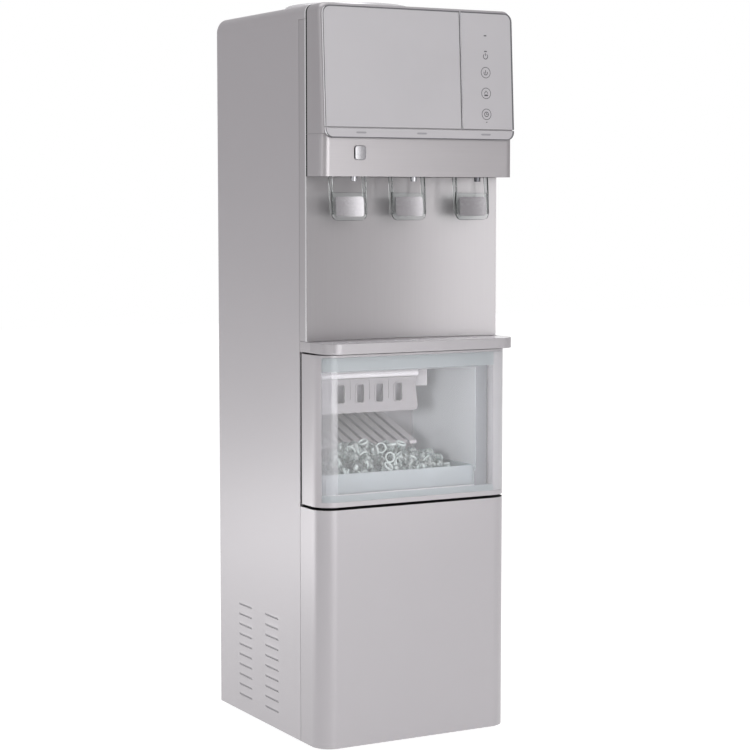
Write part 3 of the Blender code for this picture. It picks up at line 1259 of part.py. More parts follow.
def make_mould(looks):
    """Make the tilting half-round mould with closed ends and two stub shafts."""
    x0 = MAKER_X0 + MAKER_EAR + MOULD_END_GAP
    x1 = MAKER_X1 - MAKER_EAR - MOULD_END_GAP
    centre = (MOULD_Y, MOULD_Z)
    outer = MOULD_RADIUS + MOULD_WALL
    trough = prism("ice_mould", arc(centre, outer, 180, 360, MOULD_STEPS), x0, x1, "X", looks["white"])
    bowl = (arc(centre, MOULD_RADIUS, 180, 360, MOULD_STEPS)
            + [(MOULD_Y + MOULD_RADIUS, MOULD_Z + CUT_OVERRUN),
               (MOULD_Y - MOULD_RADIUS, MOULD_Z + CUT_OVERRUN)])
    cut(trough, prism("mould_bowl", bowl, x0 + MOULD_WALL, x1 - MOULD_WALL, "X"))
    left = MAKER_X0 + SEAT_GAP
    right = MAKER_X1 - SEAT_GAP
    for name, start, end in (("left", left, x0 + MOULD_WALL / 2), ("right", x1 - MOULD_WALL / 2, right)):
        join(trough, rod(f"mould_stub_{name}", MOULD_STUB_RADIUS, (start, MOULD_Y, MOULD_Z),
                         (end, MOULD_Y, MOULD_Z), None, 12))
    set_axis(trough, (x0, MOULD_Y, MOULD_Z))


def make_motor(looks):
    """Make the gear motor that turns the mould, with the neck that takes its shaft."""
    x0 = MAKER_X1 + MOTOR_NECK
    y0 = MAKER_Y + MOTOR_SETBACK
    z1 = CEILING_Z - SEAT_GAP
    z0 = MOULD_Z - MOTOR_HEIGHT / 4
    outline = rounded_rectangle(y0, y0 + MOTOR_DEPTH, z0, z1, MOTOR_NECK, 3)
    motor = prism("mould_motor", outline, x0, x0 + MOTOR_LENGTH, "X", looks["white"])
    nose_z = z1 - MOTOR_NOSE_HEIGHT
    nose = [(y0 + MOTOR_NOSE, z1), (y0 + MOTOR_NOSE, nose_z), (y0 - MOTOR_NOSE / 2, nose_z),
            (y0 - MOTOR_NOSE, nose_z + MOTOR_NOSE / 2), (y0 - MOTOR_NOSE, z1)]
    join(motor, prism("motor_nose", nose, x0 + MOTOR_NECK / 2, x0 + MOTOR_LENGTH - MOTOR_NECK, "X"))
    join(motor, rod("motor_neck", MOTOR_NECK_RADIUS, (MAKER_X1, MOULD_Y, MOULD_Z),
                    (x0 + MOTOR_NECK, MOULD_Y, MOULD_Z), None, 16))


def make_ramp(looks):
    """Make the slatted ramp: parallel slats over a front and a back beam."""
    x0 = -CHAMBER_INNER_HALF + SEAT_GAP
    x1 = CHAMBER_INNER_HALF - RAMP_RIGHT_SPACE
    front, back = CHAMBER_Y + RAMP_FRONT, CHAMBER_BACK_Y - SEAT_GAP
    low, high = CHAMBER_Z + RAMP_FRONT_LEVEL, CHAMBER_Z + RAMP_BACK_LEVEL
    thick = RAMP_SLAT_HEIGHT
    side = [(front, low - thick), (back, high - thick), (back, high), (front, low)]
    slats = bmesh.new()
    pitch = (x1 - x0 - RAMP_SLAT_WIDTH) / (RAMP_SLATS - 1)
    for index in range(1, RAMP_SLATS):
        x = x0 + index * pitch
        add_prism(slats, side, x, x + RAMP_SLAT_WIDTH, "X")
    ramp = prism("ice_ramp", side, x0, x0 + RAMP_SLAT_WIDTH, "X", looks["white"])
    join(ramp, make_object("ramp_slats", slats))
    slope = (high - low) / (back - front)
    for name, y in (("front", front + RAMP_BEAM), ("back", back - 2 * RAMP_BEAM)):
        z = low + slope * (y - front) - thick
        beam = [(y, z - thick / 2), (y + RAMP_BEAM, z - thick / 2 + slope * RAMP_BEAM),
                (y + RAMP_BEAM, z + thick / 2 + slope * RAMP_BEAM), (y, z + thick / 2)]
        join(ramp, prism(f"ramp_beam_{name}", beam, x0, x1, "X"))


def make_ice_tank(looks):
    """Make the open water tank behind the bin, under the ramp."""
    x0 = -CHAMBER_INNER_HALF + CHAMBER_STEP_IN + SEAT_GAP
    x1 = CHAMBER_INNER_HALF - ICE_TANK_RIGHT_SPACE
    back = CHAMBER_BACK_Y - SEAT_GAP
    front = back - (back - CHAMBER_Y - BIN_DEPTH - BIN_RIM_OUT) * ICE_TANK_DEPTH_SHARE
    low = CHAMBER_FLOOR_Z + SEAT_GAP
    high = low + ICE_TANK_HEIGHT
    wall = ICE_TANK_WALL
    tank = block("ice_water_tank", (x0, front, low), (x1, back, high), looks["white"])
    cut(tank, block("ice_tank_inside", (x0 + wall, front + wall, low + wall),
                    (x1 - wall, back - wall, high + CUT_OVERRUN)))


# Tanks and cooling machinery

def rounded_can(radius, low, high, crown):
    """Return a turned profile with a rounded top and bottom edge."""
    return ([(0, low)] + arc((radius - crown, low + crown), crown, 270, 360, 4)
            + arc((radius - crown, high - crown), crown, 0, 90, 4) + [(0, high)])


def make_tanks(looks):
    """Make the insulated cold tank under the receiver and the hot tank on its legs."""
    top = TOP_Z - RECEIVER_DEPTH - SPIGOT_LENGTH - SEAT_GAP
    turned("cold_tank", rounded_can(COLD_TANK_RADIUS, top - COLD_TANK_HEIGHT, top, COLD_TANK_ROUND),
           (0, WELL_Y), looks["foam"])
    y = SHELL_Y + HOT_TANK_SETBACK
    stand = CHAMBER_TOP_Z + SEAT_GAP
    low = stand + HOT_TANK_LEG
    tank = turned("hot_tank", rounded_can(HOT_TANK_RADIUS, low, low + HOT_TANK_HEIGHT, HOT_TANK_ROUND),
                  (0, y), looks["foam"])
    reach = HOT_TANK_RADIUS - HOT_TANK_ROUND - HOT_TANK_LEG_RADIUS
    for index in range(3):
        angle = math.radians(90 + 120 * index)
        place = (reach * math.cos(angle), y + reach * math.sin(angle))
        join(tank, rod(f"hot_tank_leg_{index}", HOT_TANK_LEG_RADIUS, (*place, stand),
                       (*place, low + HOT_TANK_ROUND), None, 12))


def make_compressor(looks):
    """Make the compressor can on its plate and rubber mounts."""
    y = SHELL_Y + CAN_SETBACK
    floor = FOOT_GAP + BASE_SHEET + SEAT_GAP
    plate_z = floor + CAN_MOUNT_HEIGHT
    half = CAN_PLATE_HALF
    base = block("compressor", (CAN_X - half, y - half, plate_z),
                 (CAN_X + half, y + half, plate_z + CAN_PLATE), looks["dark"])
    can_low = plate_z + CAN_PLATE / 2
    join(base, turned("compressor_can", rounded_can(CAN_RADIUS, can_low, can_low + CAN_HEIGHT, CAN_DOME),
                      (CAN_X, y)))
    reach = half - CAN_MOUNT_INSET
    for index, (dx, dy) in enumerate(((-1, -1), (1, -1), (1, 1), (-1, 1))):
        place = (CAN_X + dx * reach, y + dy * reach)
        join(base, rod(f"compressor_mount_{index}", CAN_MOUNT_RADIUS, (*place, floor),
                       (*place, plate_z + CAN_PLATE / 2), None, 12))


def make_condenser(looks):
    """Make the finned condenser behind the left louvres."""
    x0 = -HALF_WIDTH + SHEET + CONDENSER_SPACING
    x1 = x0 + CONDENSER_THICKNESS
    y0 = SHELL_Y + CONDENSER_SETBACK
    z0 = FOOT_GAP + BASE_SHEET + SEAT_GAP
    middle = (x0 + x1) / 2
    core = block("condenser", (middle - CONDENSER_CORE / 2, y0, z0),
                 (middle + CONDENSER_CORE / 2, y0 + CONDENSER_LENGTH, z0 + CONDENSER_HEIGHT),
                 looks["aluminium"])
    fins = bmesh.new()
    pitch = (CONDENSER_LENGTH - CONDENSER_FIN) / (CONDENSER_FINS - 1)
    for index in range(CONDENSER_FINS):
        y = y0 + index * pitch
        outline = rectangle(x0, x1, y, y + CONDENSER_FIN)
        add_prism(fins, outline, z0 + CONDENSER_FIN, z0 + CONDENSER_HEIGHT + CONDENSER_FIN, "Z")
    join(core, make_object("condenser_fins", fins))


def make_fan(looks):
    """Make the fan's shroud with its motor on struts, and the bladed rotor."""
    x0 = -HALF_WIDTH + SHEET + CONDENSER_SPACING + CONDENSER_THICKNESS + SEAT_GAP
    x1 = x0 + FAN_DEPTH
    y = SHELL_Y + CONDENSER_SETBACK + CONDENSER_LENGTH / 2
    z0 = FOOT_GAP + BASE_SHEET + SEAT_GAP
    z = z0 + FAN_SIDE / 2
    half = FAN_SIDE / 2
    outline = rounded_rectangle(y - half, y + half, z0, z0 + FAN_SIDE, FAN_HUB_DEPTH / 2)
    shroud = prism("fan_shroud", outline, x0, x1, "X", looks["dark"])
    cut(shroud, rod("fan_bore", FAN_BORE, (x0 - CUT_OVERRUN, y, z), (x1 + CUT_OVERRUN, y, z), None, 32))
    strut = FAN_STRUT / 2
    for index in range(3):
        angle = math.radians(90 + 120 * index)
        bar = [(y + along * math.cos(angle) - across * math.sin(angle),
                z + along * math.sin(angle) + across * math.cos(angle))
               for along, across in rectangle(0, FAN_BORE + strut, -strut, strut)]
        join(shroud, prism(f"fan_strut_{index}", bar, x1 - FAN_STRUT, x1, "X"))
    join(shroud, rod("fan_motor", FAN_HUB_RADIUS - RUN_GAP, (x1 - FAN_STRUT, y, z),
                     (x1 - FAN_STRUT + FAN_MOTOR_DEPTH, y, z), None, 20))

    hub_x1 = x1 - FAN_STRUT - SEAT_GAP
    hub_x0 = hub_x1 - FAN_HUB_DEPTH
    rotor = rod("fan_rotor", FAN_HUB_RADIUS, (hub_x0, y, z), (hub_x1, y, z), looks["dark"], 20)
    reach = FAN_BORE - FAN_TIP_GAP
    blades = bmesh.new()
    for index in range(FAN_BLADES):
        add_blade(blades, (hub_x0 + hub_x1) / 2, (y, z), reach, 360 * index / FAN_BLADES)
    join(rotor, make_object("fan_blades", blades))
    set_axis(rotor, ((hub_x0 + hub_x1) / 2, y, z))


def add_blade(form, x, centre, reach, turn_deg):
    """Loft one pitched, swept fan blade from the hub out to its tip."""
    loops = []
    for station in range(FAN_BLADE_STATIONS):
        share = station / (FAN_BLADE_STATIONS - 1)
        radius = FAN_BLADE_ROOT_RADIUS + (reach - FAN_BLADE_ROOT_RADIUS) * share
        pitch = math.radians(FAN_BLADE_PITCH_DEG + (FAN_BLADE_TIP_PITCH_DEG - FAN_BLADE_PITCH_DEG) * share)
        sweep = math.radians(turn_deg + FAN_BLADE_SWEEP_DEG * share)
        half_chord = (FAN_BLADE_ROOT_CHORD + (FAN_BLADE_TIP_CHORD - FAN_BLADE_ROOT_CHORD) * share) / 2
        thick = FAN_BLADE_THICKNESS / 2
        loop = []
        corners = rectangle(-half_chord, half_chord, -thick, thick)
        for chord, lift in corners:
            across = chord * math.cos(pitch) - lift * math.sin(pitch)
            along = chord * math.sin(pitch) + lift * math.cos(pitch)
            spread = math.sqrt(max(radius * radius - across * across, 0))
            y = centre[0] + spread * math.cos(sweep) - across * math.sin(sweep)
            z = centre[1] + spread * math.sin(sweep) + across * math.cos(sweep)
            loop.append((x + along, y, z))
        loops.append(loop)
    add_loft(form, loops)


def build():
    """Clear the scene and make every sub-part."""
    for old in list(bpy.data.objects):
        bpy.data.objects.remove(old, do_unlink=True)
    looks = make_finishes()
    make_base(looks)
    make_side_panel("side_panel_left", -1, looks)
    make_side_panel("side_panel_right", 1, looks)
    make_back_panel(looks)
    make_back_fittings(looks)
    make_top_cover(looks)
    make_bottle_seat(looks)
    make_front_frame(looks)
    make_recess_panel(looks)
    make_tap_bar(looks)
    make_lock_button(looks)
    make_head_housing(looks)
    make_glass_front(looks)
    for place in TAP_PLACES:
        make_tap(place, looks)
    make_deck(looks)
    make_drip_tray(looks)
    make_lower_panel(looks)
    make_door(looks)
    make_chamber(looks)
    make_ice_bin(looks)
    make_ice_maker(looks)
    make_ramp(looks)
    make_ice_tank(looks)
    make_tanks(looks)
    make_compressor(looks)
    make_condenser(looks)
    make_fan(looks)


build()
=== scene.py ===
"""A floor-standing water dispenser with an ice maker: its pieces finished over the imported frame."""

import json
import math

import bmesh
import bpy
from bpy.props import FloatProperty, FloatVectorProperty, IntProperty, PointerProperty
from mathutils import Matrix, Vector

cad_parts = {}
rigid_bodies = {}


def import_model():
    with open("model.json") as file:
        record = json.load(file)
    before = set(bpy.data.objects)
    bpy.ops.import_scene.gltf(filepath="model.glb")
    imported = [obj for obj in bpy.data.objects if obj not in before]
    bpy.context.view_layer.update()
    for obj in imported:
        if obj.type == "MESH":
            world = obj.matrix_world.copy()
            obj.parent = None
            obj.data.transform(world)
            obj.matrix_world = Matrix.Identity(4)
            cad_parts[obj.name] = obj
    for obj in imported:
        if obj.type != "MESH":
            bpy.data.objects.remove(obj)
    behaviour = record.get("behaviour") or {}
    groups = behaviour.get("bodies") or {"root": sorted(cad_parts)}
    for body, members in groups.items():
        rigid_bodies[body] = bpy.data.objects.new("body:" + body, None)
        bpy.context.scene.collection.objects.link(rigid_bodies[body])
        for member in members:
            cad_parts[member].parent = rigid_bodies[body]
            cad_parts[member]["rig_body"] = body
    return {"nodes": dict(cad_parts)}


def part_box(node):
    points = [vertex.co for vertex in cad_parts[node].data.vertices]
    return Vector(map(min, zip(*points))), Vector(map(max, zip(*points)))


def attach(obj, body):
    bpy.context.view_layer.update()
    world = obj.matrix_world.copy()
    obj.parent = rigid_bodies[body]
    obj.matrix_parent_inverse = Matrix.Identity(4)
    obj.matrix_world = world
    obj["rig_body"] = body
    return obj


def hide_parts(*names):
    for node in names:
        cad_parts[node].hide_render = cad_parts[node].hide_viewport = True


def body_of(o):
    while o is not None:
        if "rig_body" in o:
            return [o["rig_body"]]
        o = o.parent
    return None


bl_info = {
    "name": "Water Dispenser",
    "version": (1, 0, 0),
    "blender": (4, 5, 0),
    "location": "3D View > Sidebar > Dispenser",
    "description": "Finishes a water dispenser with an ice maker piece by piece",
    "category": "Object",
}

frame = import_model()
MM = 0.001
MERGE = 2e-6  # points of a CAD mesh nearer than this are one, in metres
EDGE_DEG = 28  # folds sharper than this are rounded
SMOOTH_DEG = 42  # folds flatter than this are shaded smooth
SIDES = ("left", "right")
HIGHLIGHT_DEPTH = 2.6 * MM  # depth of the band painted bright as a highlight along the front edge of the top cover and the front frame
HOOD_PRESS = 0.75  # share of their height by which the louvres' hoods are pressed back
SLIT_SHADE = 2 * MM  # height of the band painted dark along each louvre's lower edge, as the shade in its slit
SEAM = 0.25 * MM  # by how much the side panels reach up to close the seam under the top cover
GROOVE = 4.2 * MM  # width of the band painted black behind the head, as the shadow in the groove there
SEAM_SHADE = 3.6 * MM  # depth of the band painted black at the rear of the door's left-looking faces, as the shadow in the seam there
ON_PLANE = 2e-5  # points nearer than this to a plane lie on it, in metres
STRAIGHT = 0.9995  # cosine of a turn that is too slight for a mitre
SCREW_TURN = 1.3  # radians from one screw's cross to the next one's
HEAP_DENSITY = 90000.0  # places tried on each square metre of the heap of ice


# Colours and sizes that a user would change

def linear(code):
    """Turn an sRGB hex colour into linear red, green and blue."""
    channels = [int(code[at:at + 2], 16) / 255 for at in (0, 2, 4)]
    return tuple(c / 12.92 if c <= 0.04045 else ((c + 0.055) / 1.055) ** 2.4 for c in channels)


def tint(name, code, description):
    """Return a colour property whose default is an sRGB hex colour."""
    return FloatVectorProperty(name=name, description=description, default=linear(code),
                               subtype="COLOR", size=3, min=0, max=1)


def length(name, value, description):
    """Return a length property in metres."""
    return FloatProperty(name=name, description=description, default=value, min=0,
                         subtype="DISTANCE", unit="LENGTH", precision=5)


def power(name, value, description):
    """Return a property for the power of a light."""
    return FloatProperty(name=name, description=description, default=value, min=0, unit="POWER")


class CabinetLook(bpy.types.PropertyGroup):
    """Sizes and colours of the cabinet's skin, back and base."""
    sheet: tint("Side sheet", "BDBABD", "Powder coat on the side panels")
    cover: tint("Covers", "B5B2B5", "Silver paint on the moulded covers")
    back: tint("Back sheet", "9FA3A6", "Galvanised back panel and base")
    edge: length("Edge", 0.0004, "Radius of a folded or moulded edge")
    screw: length("Screw head", 0.0038, "Radius of the back panel's screw heads")


class HeadLook(bpy.types.PropertyGroup):
    """Sizes and colours of the glass front, the tap bar and the recess."""
    glass: tint("Glass", "B5B3B6", "Grey paint behind the glass panes")
    rim: tint("Pane edge", "606064", "Ground edge of the glass panes")
    steel: tint("Brushed steel", "A6A3A5", "Brushed sheet of the tap bar and recess")
    mark: tint("Marks", "4E4D51", "Symbols printed behind the glass")
    faint: tint("Faint marks", "929195", "Pale marks over the taps")
    # The border is partly print and partly painted shade along the panes' edges
    border: length("Border", 0.0012, "Width of the dark border printed round each pane")
    ring: length("Ring", 0.0075, "Radius of a touch ring")
    line: length("Line", 0.0011, "Width of a printed line")


class TapLook(bpy.types.PropertyGroup):
    """Colours of the three taps."""
    pad: tint("Pad", "ABA9AC", "Satin silver push pads")
    paddle: tint("Paddle", "F6FAF9", "Clear acrylic paddles")


class DoorLook(bpy.types.PropertyGroup):
    """Colours of the ice door and what shows behind it."""
    window: tint("Window", "FEFDFE", "Clear door window")
    liner: tint("Liner", "E8E7EA", "Moulded liner of the ice chamber")
    white: tint("Ice maker", "EFEEF1", "White moulded parts of the ice maker")
    # The grey of the front of the chamber's mouth is painted shade
    seal: tint("Seal", "92959A", "Grey vinyl seal round the chamber's mouth")
    bin: tint("Ice bin", "DAE1E4", "Translucent ice bin")


class IceLook(bpy.types.PropertyGroup):
    """Size and packing of the bullet ice."""
    radius: length("Radius", 0.0080, "Radius of one piece of ice")
    length: length("Length", 0.0180, "Length of one piece of ice")
    spacing: length("Spacing", 0.0122, "Least distance between two pieces")
    seed: IntProperty(name="Seed", description="Which heap is drawn", default=7, min=0)


class StageLook(bpy.types.PropertyGroup):
    """Floor, lights and camera."""
    floor: tint("Floor", "FFFFFF", "Plain pale floor")
    front: power("Front light", 33.0, "Power of the large front light")
    side: power("Side light", 3.5, "Power of the tall light at the left")
    low: power("Back light", 2.45, "Power of the low light behind at the left")
    top: power("Top light", 12.0, "Power of the soft light overhead")
    chamber: power("Chamber light", 45.0, "Power of the small spot on the ice chamber")
    ambient: FloatProperty(name="Ambient", description="Strength of the grey surroundings",
                           default=0.465, min=0)


LOOKS = {
    "dispenser_cabinet": CabinetLook,
    "dispenser_head": HeadLook,
    "dispenser_tap": TapLook,
    "dispenser_door": DoorLook,
    "dispenser_ice": IceLook,
    "dispenser_stage": StageLook,
}


# Node helpers

def add(tree, kind, inputs=None, **settings):
    """Add a node with its settings, and set or link its inputs."""
    node = tree.nodes.new(kind)
    for name, value in settings.items():
        setattr(node, name, value)
    for name, value in (inputs or {}).items():
        socket = node.inputs[name]
        if isinstance(value, bpy.types.NodeSocket):
            tree.links.new(value, socket)
        else:
            socket.default_value = value
    return node


def rgba(colour):
    """Add full opacity to a colour."""
    return (*colour[:3], 1.0)


def shade(colour, factor):
    """Lighten or darken a linear colour."""
    return rgba([min(1.0, c * factor) for c in colour[:3]])


def emptied(block):
    """Let a material or a world use nodes, and return its tree with none in it."""
    block.use_nodes = True
    block.node_tree.nodes.clear()
    return block.node_tree


def maths(tree, operation, first, second):
    """Return what a maths node makes of two values."""
    return add(tree, "ShaderNodeMath", {0: first, 1: second}, operation=operation).outputs["Value"]


def either_ray(tree, first, second):
    """Return a value that is 1 for rays of two kinds, and 0 for all others."""
    path = add(tree, "ShaderNodeLightPath").outputs
    return maths(tree, "MAXIMUM", path[f"Is {first} Ray"], path[f"Is {second} Ray"])


def mixed(tree, share, first, second):
    """Mix two shader nodes by the second one's share, and return the output."""
    return add(tree, "ShaderNodeMixShader", {0: share, 1: first.outputs[0], 2: second.outputs[0]}).outputs[0]


def surface(name, colour, rough, metal=0.0, **inputs):
    """Make a material with one Principled shader, and return it with its tree and shader."""
    material = bpy.data.materials.new(name)
    tree = emptied(material)
    shader = add(tree, "ShaderNodeBsdfPrincipled",
                 {"Base Color": rgba(colour), "Roughness": rough, "Metallic": metal, **inputs})
    add(tree, "ShaderNodeOutputMaterial", {"Surface": shader.outputs["BSDF"]})
    return material, tree, shader


def grain(tree, size, stretch=(1, 1, 1), detail=3.0, contrast=(0.35, 0.65)):
    """Return a noise pattern from 0 to 1 on Object coordinates; size is its width in metres."""
    place = add(tree, "ShaderNodeTexCoord").outputs["Object"]
    grid = add(tree, "ShaderNodeMapping", {"Vector": place, "Scale": [s / size for s in stretch]})
    noise = add(tree, "ShaderNodeTexNoise", {"Vector": grid.outputs["Vector"], "Scale": 1.0,
                                             "Detail": detail, "Roughness": 0.55})
    spread = add(tree, "ShaderNodeMapRange", {"Value": noise.outputs["Fac"],
                                              "From Min": contrast[0], "From Max": contrast[1]})
    return spread.outputs["Result"]


def vary(tree, shader, pattern, colour, tones, rough=None):
    """Let a pattern move a surface's colour between two tones and its roughness between two values."""
    mix = add(tree, "ShaderNodeMix", {"Factor": pattern}, data_type="RGBA")
    mix.inputs[6].default_value = shade(colour, tones[0])
    mix.inputs[7].default_value = shade(colour, tones[1])
    tree.links.new(mix.outputs[2], shader.inputs["Base Color"])
    if rough:
        gloss = add(tree, "ShaderNodeMapRange", {"Value": pattern, "To Min": rough[0], "To Max": rough[1]})
        tree.links.new(gloss.outputs["Result"], shader.inputs["Roughness"])


def relief(tree, shader, pattern, height, strength=1.0):
    """Raise a surface by a pattern, to a height in metres."""
    bump = add(tree, "ShaderNodeBump", {"Height": pattern, "Distance": height, "Strength": strength})
    tree.links.new(bump.outputs["Normal"], shader.inputs["Normal"])


def let_light_through(tree, shader, colour):
    """Let shadow and diffuse rays pass a clear piece, so that what is behind it is lit."""
    clear = add(tree, "ShaderNodeBsdfTransparent", {"Color": rgba(colour)})
    end = next(node for node in tree.nodes if node.type == "OUTPUT_MATERIAL")
    tree.links.new(mixed(tree, either_ray(tree, "Shadow", "Diffuse"), shader, clear), end.inputs["Surface"])


def textured(name, colour, rough, metal, pattern, tones, gloss, raised=None, clear=None, **inputs):
    """Make a material whose tone and gloss follow one pattern, described as grain() takes it.

    Its relief has a height and a strength, and a clear material lets light of a colour through.
    """
    material, tree, shader = surface(name, colour, rough, metal, **inputs)
    spots = grain(tree, **pattern)
    vary(tree, shader, spots, colour, tones, gloss)
    if raised:
        relief(tree, shader, spots, *raised)
    if clear is not None:
        let_light_through(tree, shader, clear)
    return material


# Materials, each named for what the real surface is and, where it stands in for light or shade, for that
# painted light or shade

def powder_coated_steel(name, colour):
    """Powder-coated sheet steel: a satin skin with the fine orange peel of baked powder."""
    return textured(name, colour, 0.4, 0.35, {"size": 1.6 * MM, "detail": 2}, (0.985, 1.015), (0.39, 0.46),
                    (0.03 * MM, 0.35), **{"Coat Weight": 0.15, "Coat Roughness": 0.3})


def silver_painted_abs(name, colour):
    """Silver-painted moulded ABS: metal flake in the paint gives a soft, slightly sparkling sheen."""
    material, tree, shader = surface(name, colour, 0.36, 0.4,
                                     **{"Coat Weight": 0.12, "Coat Roughness": 0.3})
    # Real flake is 0.03 mm; it is drawn at 0.5 mm so that it shows
    flake = grain(tree, 0.5 * MM, detail=1, contrast=(0.3, 0.7))
    vary(tree, shader, flake, colour, (0.97, 1.03), (0.33, 0.4))
    relief(tree, shader, grain(tree, 14 * MM, detail=1), 0.05 * MM, 0.2)
    return material


def brushed_stainless(name, colour, stretch, metal, rough):
    """Brushed stainless sheet: long fine scratches that draw reflections out across them."""
    # Abrasive lines are 0.1 mm apart; they are drawn 0.9 mm apart so that they show
    lines = {"size": 0.9 * MM, "stretch": stretch, "detail": 4, "contrast": (0.3, 0.7)}
    return textured(name, colour, rough, metal, lines, (0.98, 1.02), (rough - 0.01, rough + 0.01),
                    (0.01 * MM, 0.05), Anisotropic=0.45)


def back_painted_glass(name, colour):
    """Float glass painted grey behind: an even colour under a hard, clear gloss."""
    return textured(name, colour, 0.45, 0.1, {"size": 90 * MM, "detail": 2}, (0.985, 1.012), (0.42, 0.48),
                    **{"Coat Weight": 0.7, "Coat Roughness": 0.06, "Coat IOR": 1.5})


def ground_glass_edge(name, colour):
    """Ground and inked edge of the panes: a thin dark outline."""
    return textured(name, colour, 0.5, 0.0, {"size": 1.0 * MM}, (0.9, 1.1), (0.45, 0.6))


def printed_ink(name, colour):
    """Screen ink behind the glass: flat grey, very slightly uneven."""
    return textured(name, colour, 0.5, 0.0, {"size": 0.6 * MM}, (0.94, 1.06), None)


def clear_acrylic(name, colour):
    """Polished cast acrylic, clear through the face."""
    return textured(name, colour, 0.03, 0.0, {"size": 30 * MM}, (0.98, 1.0), (0.02, 0.05),
                    clear=colour, **{"Transmission Weight": 1.0, "IOR": 1.49})


def clear_window(name, colour):
    """Moulded clear window: see-through under a soft sheen."""
    return textured(name, colour, 0.02, 0.0, {"size": 60 * MM}, (0.985, 1.0), (0.015, 0.035),
                    clear=colour, **{"Transmission Weight": 1.0, "IOR": 1.45,
                                     "Coat Weight": 0.9, "Coat Roughness": 0.3})


def hazy_window(name, colour, clear, rough=0.3):
    """Pale, satin, partly see-through veil on the window: painted reflection on its curved ends, and a border
    band along its top and foot.
    """
    return textured(name, colour, rough, 0.1 * (1 - clear), {"size": 40 * MM}, (0.98, 1.0),
                    (rough - 0.02, rough + 0.04), clear=linear("F4F6F6"),
                    **{"Transmission Weight": clear, "IOR": 1.45})


def cut_acrylic_edge(name, colour):
    """Cut edges of the acrylic: light is trapped there, so they look dark and a little green."""
    return textured(name, colour, 0.25, 0.0, {"size": 12 * MM}, (0.75, 1.5), (0.2, 0.4), IOR=1.49)


def satin_moulding(name, colour):
    """Satin silver moulding of the push pads and the lock button: fine spark texture and a soft sheen."""
    return textured(name, colour, 0.26, 0.85, {"size": 0.5 * MM, "detail": 2}, (0.985, 1.01), (0.25, 0.28))


def chromed_plastic(name, colour):
    """Chrome plate over plastic: a bright mirror with slight waves."""
    return textured(name, colour, 0.09, 1.0, {"size": 6 * MM, "detail": 1}, (0.97, 1.0), (0.07, 0.12),
                    (0.03 * MM, 0.2))


def moulded_plastic(name, colour, rough, size=0.7, tones=(0.975, 1.02), metal=0.0):
    """Injection-moulded plastic: fine spark-eroded texture, its width in mm, and a satin gloss."""
    return textured(name, colour, rough, metal, {"size": size * MM, "detail": 2}, tones,
                    (rough - 0.04, rough + 0.05), (0.02 * MM, 0.3))


def translucent_bin(name, colour):
    """Clear SAN bin: pale blue-green in its depth."""
    return textured(name, colour, 0.12, 0.0, {"size": 25 * MM}, (0.97, 1.0), (0.1, 0.18),
                    clear=colour, **{"Transmission Weight": 0.55, "IOR": 1.3})


def rolled_metal(name, colour, rough, size=3.0, tones=(0.9, 1.08), stretch=(1, 1, 1), metal=0.9):
    """Bare or coated metal: uneven tone, its width in mm, from rolling, plating or casting."""
    return textured(name, colour, rough, metal, {"size": size * MM, "stretch": stretch, "detail": 4}, tones,
                    (rough - 0.07, rough + 0.09), (0.02 * MM, 0.3))


def clear_ice(name, colour):
    """Clear bullet ice: a wet glassy skin, streaked white where air froze in and a little darker elsewhere at
    random, with each cup's rim painted white as a highlight.
    """
    material, tree, shader = surface(name, colour, 0.04, **{"IOR": 1.31})
    streaks = grain(tree, 6 * MM, (1, 1, 0.5), detail=3, contrast=(0.45, 0.7))
    # The rim attribute paints each cup's open rim white, as a painted highlight
    rim = add(tree, "ShaderNodeAttribute", attribute_name="rim").outputs["Fac"]
    white = maths(tree, "MAXIMUM", streaks, rim)
    vary(tree, shader, white, colour, (0.75, 1.0), (0.02, 0.12))
    clear = add(tree, "ShaderNodeMapRange", {"Value": white, "To Min": 0.95, "To Max": 0.2})
    tree.links.new(clear.outputs["Result"], shader.inputs["Transmission Weight"])
    relief(tree, shader, grain(tree, 5 * MM, detail=2), 0.5 * MM, 0.6)
    return material


def galvanised_sheet(name, colour):
    """Galvanised sheet: zinc crystals 8 mm across, each catching the light a little differently."""
    material, tree, shader = surface(name, colour, 0.42, 0.85)
    place = add(tree, "ShaderNodeTexCoord").outputs["Object"]
    crystals = add(tree, "ShaderNodeTexVoronoi",
                   {"Vector": place, "Scale": 1 / (8 * MM), "Randomness": 1.0})
    tone = add(tree, "ShaderNodeSeparateColor", {"Color": crystals.outputs["Color"]}).outputs[0]
    vary(tree, shader, tone, colour, (0.9, 1.08), (0.36, 0.52))
    return material


